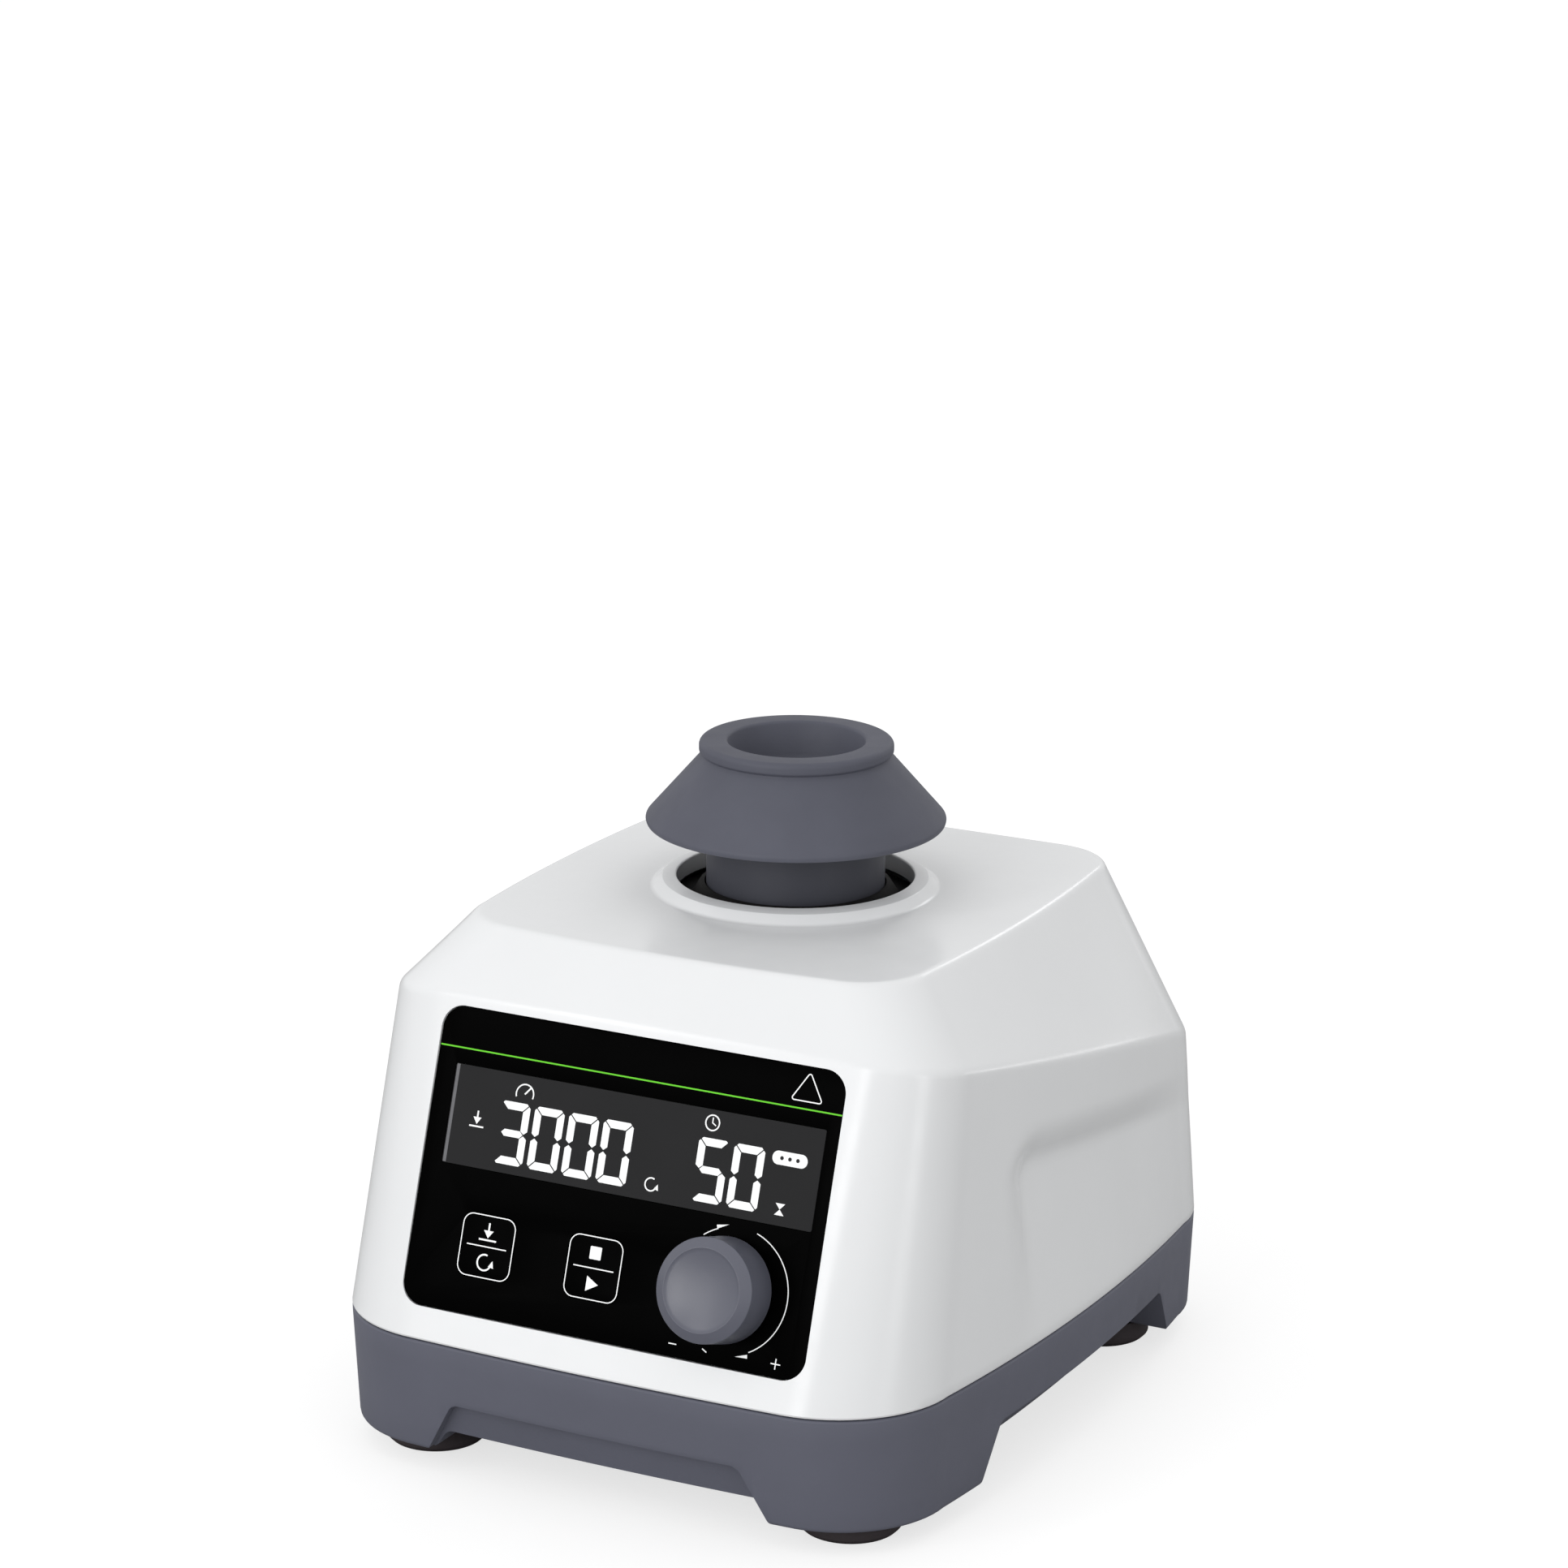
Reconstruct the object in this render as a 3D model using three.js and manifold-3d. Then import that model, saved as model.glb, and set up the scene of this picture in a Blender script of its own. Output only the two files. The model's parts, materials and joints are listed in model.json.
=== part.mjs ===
// Vortex mixer: a small bench mixer whose sprung motor swings a rubber cup in a circle without turning it.
// Millimetres, +Z up, the bench is z = 0 and the front, with its control panel, faces -Y.
import * as THREE from "three";
import { mergeVertices } from "three/addons/utils/BufferGeometryUtils.js";
import Module from "manifold-3d";

const wasm = await Module();
wasm.setup();

// ---- Driving dimensions ----
const HEAD_Y = 5.2; // the motor's axis lies this far behind the middle of the footprint
const GAP = 0.3; // air left between pieces that touch
const CORNER_STEPS = 5; // facets in each rounded corner of the housing
const SIDE_STEPS = 4; // facets along each bowed side of the housing

const ORBIT_OFFSET = 2; // the cup's circle is 4 mm across
const ORBIT_PHASE = THREE.MathUtils.degToRad(-62.4); // where the cup stands in its circle at rest

// Outlines of the housing seen from above, y measured from the motor's axis.
const BOTTOM = {
  halfFront: 56.4, halfRear: 56.4, front: -72.2, rear: 67.3, radius: 20,
  bowFront: 0.8, bowSide: 2.9, bowRear: 0, zFront: 4.2, zRear: 4.2,
};
const SEAM = {
  halfFront: 57.1, halfRear: 57.1, front: -74.6, rear: 69.2, radius: 22,
  bowFront: 0.8, bowSide: 2.9, bowRear: 0, zFront: 25.4, zRear: 22.4,
};
const CREASE = {
  halfFront: 54.6, halfRear: 56, front: -56, rear: 60.1, radius: 15,
  bowFront: 0.7, bowSide: 1.7, bowRear: 0, zFront: 81.9, zRear: 57.2,
};
const PLATEAU = {
  halfFront: 43.3, halfRear: 43.3, front: -46.9, rear: 46.8, radius: 12,
  bowFront: 1.7, bowSide: 1.7, bowRear: 0, zFront: 92.6, zRear: 92.6,
};

const HOLE_R = 21.2; // the hole in the top that the neck moves in
const HOLE_RELIEF_R = 26.4; // room for the splash skirt under the top
const HOLE_CEILING_Z = 91.4;
const COLLAR_TOP_Z = 94.7;
const SIDE_WALL = 5.2;
const FRONT_WALL = 4.2;
const REAR_WALL = 2.8;
const TOP_WALL = 2.4;
const GRIP_FLOOR_X = 60.1; // the grip hollow's floor meets the side wall here, at the seam
const GRIP_LEAN = 0.147; // and leans inwards by this much for each millimetre of height

const BELLY_Z = 7.8; // underside of the base between its four legs
const BASE_FLOOR_Z = 11.4;
const ARCH_TOP_Z = 14.1;
const ARCH_DEPTH = 3; // of the arches' recesses in the front and rear
const SIDE_ARCH = { low: 12, lowZ: -2, high: 1, highZ: 17 }; // their sloping depth in the sides

const ARCH_HALF_W = 32.1; // the arches in the front and rear, at the bottom of the legs
const ARCH_HALF_D = 38.8; // and in the sides
const ARCH_SLOPE_W = 3.8;
const ARCH_SLOPE_D = 4.1;

const FEET = { frontX: 41, frontY: -57, rearX: 42, rearY: 44 };
const SCREW_X = 48.5;
const SCREW_FRONT_Y = -29;
const SCREW_REAR_Y = 23;

const PANEL_X = 0.5;
const PANEL_W = 78;
const PANEL_H = 52;
const PANEL_LOW = 6.2; // height of the panel's lower edge above the seam, along the front wall
const PANEL_RADIUS = 4;
const PANEL_THICK = 1.6;
const PANEL_SUNK = 1; // the panel lies this far behind the middle of the front wall
const PANEL_MID = PANEL_LOW + PANEL_H / 2;
const WINDOW = { x: 1.1, y: 39.75, w: 72.2, h: 17.6 };
const KEY_W = 10.6;
const KEY_H = 11;
const KEY_TRAVEL = 0.4;
const KEYS = { mode_key: [-23.4, 18.2], run_key: [-2.3, 18.2] };
const KNOB = { x: 23, y: 19, r: 9, low: 0.8, high: 9.2 };
const BOARD_FRONT_Z = -9.4; // face of the control board, behind the panel's own face

const CARRIAGE_Z = 60; // underside of the plate that carries the motor
const CARRIAGE_THICK = 3;
const POST_X = 34;
const POST_Y = 28;
const POST_R = 3;
const SPRING_SEAT_Z = 40;
const BALLAST_LOW = 11.7;
const BALLAST_TOP = 17;
const MOTOR_R = 22;
const MOTOR_LOW = 23;
const SHAFT_R = 2.5;
const NECK_R = 15.9;
const NECK_LOW = 75.8;
const CUP_LOW = 105.4;
const CUP_TOP = 120;
const CUP_R = 26.5;
const RIM_R = 17.2;
const BORE_R = 12.3;

// ---- Materials ----
function finish(color, roughness, metalness = 0) {
  return new THREE.MeshStandardMaterial({ color, roughness, metalness });
}
const WHITE_SHELL = () => finish(0xebedef, 0.25);
const GREY_BASE = () => finish(0x62646e, 0.55);
const GREY_RUBBER = () => finish(0x64656f, 0.8);
const BLACK_RUBBER = () => finish(0x161415, 0.85);
const FOOT_RUBBER = () => finish(0x3a3335, 0.85);
const BLACK_PANEL = () => finish(0x050505, 0.2);
const DARK_LENS = () => finish(0x2b2c2e, 0.15);
const GREEN_BOARD = () => finish(0x1d5a35, 0.5);
const BLACK_PLASTIC = () => finish(0x17181a, 0.5);
const STEEL = () => finish(0xb4b7bb, 0.35, 0.9);
const MOTOR_STEEL = () => finish(0x8d9196, 0.4, 0.8);
const DARK_MAGNET = () => finish(0x303236, 0.6, 0.2);

// ---- Working with closed solids ----
function toSolid(geometry) {
  const bare = new THREE.BufferGeometry();
  bare.setAttribute("position", geometry.getAttribute("position"));
  if (geometry.index) {
    bare.setIndex(geometry.index);
  }
  const merged = mergeVertices(bare, 1e-4);
  return new wasm.Manifold(
    new wasm.Mesh({
      numProp: 3,
      vertProperties: merged.attributes.position.array,
      triVerts: new Uint32Array(merged.index.array),
    }),
  );
}

function toGeometry(solid) {
  const mesh = solid.getMesh();
  const geometry = new THREE.BufferGeometry();
  geometry.setAttribute("position", new THREE.BufferAttribute(mesh.vertProperties, 3));
  geometry.setIndex(new THREE.BufferAttribute(mesh.triVerts, 1));
  return geometry;
}

function join(...geometries) {
  return toGeometry(geometries.map(toSolid).reduce((whole, next) => whole.add(next)));
}

function cut(geometry, ...tools) {
  return toGeometry(tools.map(toSolid).reduce((whole, next) => whole.subtract(next), toSolid(geometry)));
}

// The mirror image in the YZ plane, with its faces turned back outwards.
function mirrored(geometry) {
  const image = geometry.clone().scale(-1, 1, 1);
  const corners = image.index.array;
  for (let i = 0; i < corners.length; i += 3) {
    [corners[i + 1], corners[i + 2]] = [corners[i + 2], corners[i + 1]];
  }
  return image;
}

// ---- Shapes ----
// A rounded rectangle seen from above, walked anticlockwise, with bowed sides.
// Its height runs evenly from the front to the rear.
function ring(s) {
  const points = [];
  const along = (y, a, b) => THREE.MathUtils.mapLinear(y, s.front, s.rear, a, b);
  const lift = (x, y) => new THREE.Vector3(x, y, along(y, s.zFront, s.zRear));
  const corners = [
    { side: 1, y: s.front + s.radius, start: -90, bow: s.bowSide },
    { side: 1, y: s.rear - s.radius, start: 0, bow: s.bowRear },
    { side: -1, y: s.rear - s.radius, start: 90, bow: s.bowSide },
    { side: -1, y: s.front + s.radius, start: 180, bow: s.bowFront },
  ];
  const arcs = corners.map((c) => {
    const centre = c.side * (along(c.y, s.halfFront, s.halfRear) - s.radius);
    return Array.from({ length: CORNER_STEPS + 1 }, (_, i) => {
      const angle = THREE.MathUtils.degToRad(c.start + (90 * i) / CORNER_STEPS);
      return lift(centre + s.radius * Math.cos(angle), c.y + s.radius * Math.sin(angle));
    });
  });
  arcs.forEach((arc, i) => {
    points.push(...arc);
    const from = arc[CORNER_STEPS];
    const to = arcs[(i + 1) % arcs.length][0];
    const outward = new THREE.Vector3(to.y - from.y, from.x - to.x, 0).normalize();
    for (let k = 1; k < SIDE_STEPS; k++) {
      const t = k / SIDE_STEPS;
      const p = from.clone().lerp(to, t).addScaledVector(outward, corners[i].bow * 4 * t * (1 - t));
      points.push(lift(p.x, p.y));
    }
  });
  return points;
}

// A closed skin through rings of equally many points, given from the lowest to the highest.
function loft(rings) {
  const count = rings[0].length;
  const middle = (points) => points.reduce((sum, p) => sum.add(p), new THREE.Vector3()).divideScalar(count);
  const vertices = [...rings.flat(), middle(rings[0]), middle(rings[rings.length - 1])];
  const lowest = rings.length * count;
  const index = [];
  for (let i = 0; i < count; i++) {
    const j = (i + 1) % count;
    for (let k = 0; k < rings.length - 1; k++) {
      const a = k * count;
      const b = a + count;
      index.push(a + i, a + j, b + j, a + i, b + j, b + i);
    }
    const top = lowest - count;
    index.push(lowest, j, i, lowest + 1, top + i, top + j);
  }
  const geometry = new THREE.BufferGeometry().setFromPoints(vertices);
  geometry.setIndex(index);
  return geometry;
}

// The same outline moved inwards by its own amount at the sides, the front and the rear, and lowered.
function inset(s, side, front, rear, drop) {
  return {
    ...s,
    halfFront: s.halfFront - side,
    halfRear: s.halfRear - side,
    front: s.front + front,
    rear: s.rear - rear,
    radius: Math.max(s.radius - side, 4),
    zFront: s.zFront - drop,
    zRear: s.zRear - drop,
  };
}

// A turned piece about Z. The profile is pairs of radius and height, anticlockwise.
// It is closed on itself or ends on the axis.
function turned(profile, segments = 24) {
  const points = profile.map(([r, z]) => new THREE.Vector2(r, z));
  const closed = profile[0][0] > 0 || profile[profile.length - 1][0] > 0;
  if (closed) {
    points.push(points[0].clone());
  }
  return new THREE.LatheGeometry(points, segments).rotateX(Math.PI / 2);
}

function rod(radius, low, high, x = 0, y = 0, segments = 16) {
  return turned([[0, low], [radius, low], [radius, high], [0, high]], segments).translate(x, y, 0);
}

function block(x0, x1, y0, y1, z0, z1) {
  const box = new THREE.BoxGeometry(x1 - x0, y1 - y0, z1 - z0);
  return box.translate((x0 + x1) / 2, (y0 + y1) / 2, (z0 + z1) / 2);
}

function roundedOutline(Kind, x, y, w, h, r) {
  const outline = new Kind();
  const [left, right, low, high] = [x - w / 2, x + w / 2, y - h / 2, y + h / 2];
  outline.moveTo(left + r, low);
  outline.lineTo(right - r, low);
  outline.absarc(right - r, low + r, r, -Math.PI / 2, 0);
  outline.lineTo(right, high - r);
  outline.absarc(right - r, high - r, r, 0, Math.PI / 2);
  outline.lineTo(left + r, high);
  outline.absarc(left + r, high - r, r, Math.PI / 2, Math.PI);
  outline.lineTo(left, low + r);
  outline.absarc(left + r, low + r, r, Math.PI, 1.5 * Math.PI);
  return outline;
}

function plate(outline, low, high, curveSegments = 4) {
  const settings = { depth: high - low, bevelEnabled: false, curveSegments };
  return new THREE.ExtrudeGeometry(outline, settings).translate(0, 0, low);
}

function roundedBlock(x, y, w, h, r, low, high) {
  return plate(roundedOutline(THREE.Shape, x, y, w, h, r), low, high);
}

// ---- The tree of groups ----
const mixer = new THREE.Group();
const assembly = new THREE.Group();
assembly.position.y = HEAD_Y;
mixer.add(assembly);

// A tilted wall's own frame: x runs along it, y up it and z out of it.
function wallFrame(low, high, outwardSign) {
  const up = new THREE.Vector3(0, high.y - low.y, high.z - low.z).normalize();
  const out = new THREE.Vector3(0, outwardSign * up.z, -outwardSign * up.y);
  const across = new THREE.Vector3().crossVectors(up, out);
  return new THREE.Matrix4().makeBasis(across, up, out).setPosition(0, low.y, low.z);
}

const FRONT_WALL_FRAME = wallFrame(
  { y: SEAM.front - SEAM.bowFront, z: SEAM.zFront },
  { y: CREASE.front - CREASE.bowFront, z: CREASE.zFront },
  -1,
);
const PANEL_FRAME = FRONT_WALL_FRAME.clone().multiply(new THREE.Matrix4().makeTranslation(0, 0, -PANEL_SUNK));
const REAR_FRAME = wallFrame({ y: SEAM.rear, z: SEAM.zRear }, { y: CREASE.rear, z: CREASE.zRear }, 1);

function framedGroup(frame) {
  const group = new THREE.Group();
  frame.decompose(group.position, group.quaternion, group.scale);
  assembly.add(group);
  return group;
}
const panel = framedGroup(PANEL_FRAME);
const rear = framedGroup(REAR_FRAME);

const head = new THREE.Group();
head.position.set(ORBIT_OFFSET * Math.cos(ORBIT_PHASE), ORBIT_OFFSET * Math.sin(ORBIT_PHASE), 0);
assembly.add(head);

function add(group, name, geometry, material) {
  const mesh = new THREE.Mesh(geometry, material);
  mesh.name = name;
  group.add(mesh);
  return mesh;
}

// ---- Housing and base ----
const SCREWS = [
  ["front_left", -SCREW_X, SCREW_FRONT_Y],
  ["front_right", SCREW_X, SCREW_FRONT_Y],
  ["rear_left", -SCREW_X, SCREW_REAR_Y],
  ["rear_right", SCREW_X, SCREW_REAR_Y],
];
const ROCKER_TIP = THREE.MathUtils.degToRad(8); // the rocker stands this far to its on side
const ROCKER = { x: -20, y: 18, w: 12, h: 19 };
const JACK = { x: 22, y: 13, r: 4 };

// The shallow grip hollow in a side wall: a leaning floor with sloping edges, which fades out at the seam.
function gripHollow() {
  const levels = [
    { above: 0, front: -29, top: 56.5, rear: 50 },
    { above: 5, front: -45, top: 68, rear: 68 },
  ];
  const rings = levels.map((level) => {
    const rearTop = level.top - 0.17 * (level.rear - level.front);
    const corners = [
      [level.front, 12],
      [level.rear, 12],
      [level.rear, rearTop],
      [level.front + 8, level.top],
      [level.front + 2.4, level.top - 2.4],
      [level.front, level.top - 8],
    ];
    const outwards = (z) => GRIP_FLOOR_X - GRIP_LEAN * (z - SEAM.zRear) + level.above;
    return corners.map(([y, z]) => new THREE.Vector3(outwards(z), y, z));
  });
  return loft(rings);
}

function upperHousing() {
  const skin = loft([SEAM, CREASE, PLATEAU].map(ring));
  const collar = turned(
    [[0, 91], [25.4, 91], [25.2, 92.6], [23.7, 94.3], [22.9, COLLAR_TOP_Z], [0, COLLAR_TOP_Z]],
    40,
  );
  const hollow = loft(
    [
      inset(SEAM, SIDE_WALL, FRONT_WALL, REAR_WALL, 2),
      inset(CREASE, SIDE_WALL, FRONT_WALL, REAR_WALL, 1.6),
      inset(PLATEAU, SIDE_WALL - 2, FRONT_WALL - 1, REAR_WALL, TOP_WALL),
    ].map(ring),
  );
  const below = block(-70, 70, -90, 90, 0, 10);
  const pocketLow = -PANEL_THICK - GAP;
  const pocket = roundedBlock(PANEL_X, PANEL_MID, PANEL_W + 0.5, PANEL_H + 0.5, PANEL_RADIUS, pocketLow, 6);
  const window = roundedBlock(PANEL_X, PANEL_MID, PANEL_W - 7, PANEL_H - 7, 2, -9, 6);
  const rocker = block(ROCKER.x - 6.3, ROCKER.x + 6.3, ROCKER.y - 9.8, ROCKER.y + 9.8, -8, 8);
  const jack = rod(JACK.r + GAP, -8, 8, JACK.x, JACK.y);
  const bosses = SCREWS.map(([, x, y]) => rod(4.5, 26, 52, x, y, 12));
  const pilots = SCREWS.map(([, x, y]) => rod(1.9, 20, 44, x, y, 12));
  const shell = cut(skin, hollow, below);
  const grip = gripHollow();
  return cut(
    join(shell, collar, ...bosses),
    rod(HOLE_R, 80, 100, 0, 0, 40),
    rod(HOLE_RELIEF_R, 80, HOLE_CEILING_Z, 0, 0, 40),
    grip,
    mirrored(grip),
    pocket.applyMatrix4(PANEL_FRAME),
    window.applyMatrix4(PANEL_FRAME),
    rocker.applyMatrix4(REAR_FRAME),
    jack.applyMatrix4(REAR_FRAME),
    ...pilots,
  );
}

// A sloping-ended channel under the base, run through it along X or Y.
function channel(half, slope, top, alongX) {
  const lowHalf = half + slope;
  const topHalf = half - (slope * (top - BOTTOM.zFront)) / 9;
  const outline = new THREE.Shape();
  outline.moveTo(-lowHalf, 0);
  outline.lineTo(lowHalf, 0);
  outline.lineTo(topHalf, top);
  outline.lineTo(-topHalf, top);
  const run = plate(outline, -100, 100).rotateX(Math.PI / 2);
  return alongX ? run.rotateZ(Math.PI / 2) : run;
}

function baseSkirt() {
  const topRing = inset(SEAM, 0, 0, 0, GAP);
  const skin = loft([ring(BOTTOM), ring(topRing)]);
  const hollow = loft(
    [
      { ...inset(BOTTOM, 7, 7, 7, 0), zFront: BASE_FLOOR_Z, zRear: BASE_FLOOR_Z },
      { ...inset(SEAM, 3, 3.6, 3, 0), zFront: 17, zRear: 17 },
      inset(SEAM, 2.8, 3, 2.8, -2),
    ].map(ring),
  );
  const core = loft(
    [
      { ...inset(BOTTOM, SIDE_ARCH.low, ARCH_DEPTH, ARCH_DEPTH, 0), zFront: SIDE_ARCH.lowZ, zRear: SIDE_ARCH.lowZ },
      { ...inset(SEAM, SIDE_ARCH.high, ARCH_DEPTH, ARCH_DEPTH, 0), zFront: SIDE_ARCH.highZ, zRear: SIDE_ARCH.highZ },
    ].map(ring),
  );
  const recesses = [
    cut(channel(ARCH_HALF_W, ARCH_SLOPE_W, ARCH_TOP_Z, false), core),
    cut(channel(ARCH_HALF_D, ARCH_SLOPE_D, ARCH_TOP_Z, true), core),
  ];
  const channels = [
    channel(ARCH_HALF_W, ARCH_SLOPE_W, BELLY_Z, false),
    channel(ARCH_HALF_D, ARCH_SLOPE_D, BELLY_Z, true),
  ];
  const bosses = SCREWS.map(([, x, y]) => rod(4.5, BASE_FLOOR_Z - 1, 22, x, y, 12));
  const screwHoles = SCREWS.map(([, x, y]) => rod(2, 0, 30, x, y, 12));
  const headHoles = SCREWS.map(([, x, y]) => rod(3.5, 0, BASE_FLOOR_Z + 0.4, x, y, 12));
  const footHoles = footPlaces().map(([, x, y]) => rod(3.5, 0, 9.6, x, y, 12));
  const holes = [...screwHoles, ...headHoles, ...footHoles];
  return cut(join(cut(skin, hollow), ...bosses), ...recesses, ...channels, ...holes);
}

function footPlaces() {
  return [
    ["front_left", -FEET.frontX, FEET.frontY],
    ["front_right", FEET.frontX, FEET.frontY],
    ["rear_left", -FEET.rearX, FEET.rearY],
    ["rear_right", FEET.rearX, FEET.rearY],
  ];
}

// A rubber foot with a shallow suction hollow, pushed into its leg by a stem.
function foot() {
  const top = BOTTOM.zFront - GAP;
  return turned(
    [[0, 1.2], [5.2, 0], [8.2, 0], [9, 0.7], [9, 1.5], [8.1, top], [3.2, top], [3.2, 9.2], [0, 9.2]],
    20,
  );
}

function housingScrew() {
  const head = turned(
    [[0, 10], [1, 10], [1.2, 9.3], [2.6, 9.3], [3.1, 9.9], [3.1, BASE_FLOOR_Z], [0, BASE_FLOOR_Z]],
    16,
  );
  return join(head, rod(1.6, BASE_FLOOR_Z - 0.5, 42, 0, 0, 12));
}

add(assembly, "upper_housing", upperHousing(), WHITE_SHELL());
add(assembly, "base_skirt", baseSkirt(), GREY_BASE());
for (const [place, x, y] of footPlaces()) {
  add(assembly, `foot_${place}`, foot(), FOOT_RUBBER()).position.set(x, y, 0);
}
for (const [place, x, y] of SCREWS) {
  add(assembly, `housing_screw_${place}`, housingScrew(), STEEL()).position.set(x, y, 0);
}
add(assembly, "ballast_plate", block(-42, 42, -50, 45, BALLAST_LOW, BALLAST_TOP), MOTOR_STEEL());

// ---- Sprung carriage, motor and eccentric ----
const POSTS = [
  ["front_left", -POST_X, -POST_Y],
  ["front_right", POST_X, -POST_Y],
  ["rear_left", -POST_X, POST_Y],
  ["rear_right", POST_X, POST_Y],
];
const MOTOR_SCREWS = [["left", -11], ["right", 11]];

class Helix extends THREE.Curve {
  constructor(radius, low, high, turns) {
    super();
    Object.assign(this, { radius, low, high, turns });
  }

  getPoint(t, target = new THREE.Vector3()) {
    const angle = 2 * Math.PI * this.turns * t;
    return target.set(
      this.radius * Math.cos(angle),
      this.radius * Math.sin(angle),
      THREE.MathUtils.lerp(this.low, this.high, t),
    );
  }
}

function returnSpring() {
  const wire = new THREE.Shape().absarc(0, 0, 0.6, 0, 2 * Math.PI);
  const path = new Helix(4.6, SPRING_SEAT_Z + 1, CARRIAGE_Z - 1, 4);
  const settings = { steps: 34, curveSegments: 3, bevelEnabled: false, extrudePath: path };
  return new THREE.ExtrudeGeometry(wire, settings);
}

function guidePost() {
  const low = BALLAST_TOP + GAP;
  const top = CARRIAGE_Z + CARRIAGE_THICK + 6;
  const seat = SPRING_SEAT_Z;
  return turned([[0, low], [6, low], [6, seat], [POST_R, seat], [POST_R, top], [0, top]], 20);
}

function stopNut() {
  const centre = new THREE.Vector2();
  const corner = (_, i) => new THREE.Vector2(5.4).rotateAround(centre, (Math.PI * i) / 3);
  const outline = new THREE.Shape(Array.from({ length: 6 }, corner));
  outline.holes.push(new THREE.Path().absarc(0, 0, POST_R + GAP, 0, 2 * Math.PI));
  const low = CARRIAGE_Z + CARRIAGE_THICK + GAP;
  return plate(outline, low, low + 4, 8);
}

function carriagePlate() {
  const outline = roundedOutline(THREE.Shape, 0, 0, 80, 68, 6);
  const hole = (x, y, r) => outline.holes.push(new THREE.Path().absarc(x, y, r, 0, 2 * Math.PI));
  POSTS.forEach(([, x, y]) => hole(x, y, POST_R + 0.5));
  MOTOR_SCREWS.forEach(([, x]) => hole(x, 0, 1.9));
  hole(0, 0, 7);
  return plate(outline, CARRIAGE_Z, CARRIAGE_Z + CARRIAGE_THICK, 5);
}

function motorCan() {
  const top = CARRIAGE_Z - GAP;
  const low = MOTOR_LOW + 4.3;
  const can = turned([[20, top - 2.6], [20, low], [MOTOR_R, low], [MOTOR_R, top], [3, top], [3, top - 2.6]]);
  return cut(can, ...MOTOR_SCREWS.map(([, x]) => rod(1.8, top - 6, top + 2, x, 0, 12)));
}

function motorEndCap() {
  const seat = MOTOR_LOW + 4;
  return turned([
    [3, seat], [3, MOTOR_LOW], [19, MOTOR_LOW], [MOTOR_R, MOTOR_LOW + 1.5], [MOTOR_R, seat],
    [19.6, seat], [19.6, seat + 2], [16, seat + 2], [16, seat],
  ]);
}

function sleeve(inner, outer, low, high, segments = 24) {
  return turned([[inner, low], [outer, low], [outer, high], [inner, high]], segments);
}

// The wound core: a stack with slots round its edge.
function armature() {
  const outline = new THREE.Shape();
  const slots = 6;
  for (let i = 0; i < slots; i++) {
    const start = (2 * Math.PI * i) / slots;
    outline.absarc(0, 0, 15.8, start + 0.12, start + 0.92);
    outline.lineTo(11 * Math.cos(start + 0.98), 11 * Math.sin(start + 0.98));
    outline.lineTo(11 * Math.cos(start + 1.11), 11 * Math.sin(start + 1.11));
  }
  outline.holes.push(new THREE.Path().absarc(0, 0, SHAFT_R + GAP, 0, 2 * Math.PI));
  return plate(outline, MOTOR_LOW + 9, CARRIAGE_Z - 6, 6);
}

// The hub on the motor shaft, with its crank pin off centre and a counterweight on the far side.
function eccentricHub() {
  const weight = new THREE.Shape();
  weight.absarc(0, 0, 18, ORBIT_PHASE + Math.PI - 1.2, ORBIT_PHASE + Math.PI + 1.2);
  weight.lineTo(0, 0);
  const pin = turned([[0, 72], [5.6, 72], [5.6, 76.2], [4, 76.2], [4, 84.4], [0, 84.4]], 24);
  pin.translate(head.position.x, head.position.y, 0);
  const hub = join(rod(9.5, 65.8, 73.5), plate(weight, 66, 72, 10), pin);
  return cut(hub, rod(SHAFT_R + GAP, 60, 71.5, 0, 0, 20));
}

function motorScrew() {
  const low = CARRIAGE_Z + CARRIAGE_THICK + GAP;
  return join(rod(2.7, low, low + 1.8, 0, 0, 16), rod(1.5, low - 7, low + 0.5, 0, 0, 12));
}

add(assembly, "carriage_plate", carriagePlate(), STEEL());
add(assembly, "motor_can", motorCan(), MOTOR_STEEL());
add(assembly, "motor_end_cap", motorEndCap(), BLACK_PLASTIC());
add(assembly, "motor_magnet_ring", sleeve(16.6, 19.7, MOTOR_LOW + 7, CARRIAGE_Z - 4), DARK_MAGNET());
add(assembly, "motor_armature", armature(), DARK_MAGNET());
add(assembly, "motor_shaft", rod(SHAFT_R, MOTOR_LOW - 2, 71.2, 0, 0, 20), STEEL());
add(assembly, "eccentric_hub", eccentricHub(), STEEL());
for (const [place, x] of MOTOR_SCREWS) {
  add(assembly, `motor_screw_${place}`, motorScrew(), STEEL()).position.x = x;
}
for (const [place, x, y] of POSTS) {
  add(assembly, `guide_post_${place}`, guidePost(), STEEL()).position.set(x, y, 0);
  add(assembly, `stop_nut_${place}`, stopNut(), STEEL()).position.set(x, y, 0);
  add(assembly, `return_spring_${place}`, returnSpring(), STEEL()).position.set(x, y, 0);
}

// ---- Head: bearing, neck, splash skirt and rubber cup, all about the crank pin ----
const BEARING_LOW = 76.5;
const BEARING_HIGH = 83.5;

function ballCage() {
  const middle = (BEARING_LOW + BEARING_HIGH) / 2;
  const balls = Array.from({ length: 7 }, (_, i) => {
    const angle = (2 * Math.PI * i) / 7;
    const ball = new THREE.SphereGeometry(1.15, 6, 4);
    return ball.translate(7.75 * Math.cos(angle), 7.75 * Math.sin(angle), middle);
  });
  return join(sleeve(7.35, 8.15, middle - 0.8, middle + 0.8, 21), ...balls);
}

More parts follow.
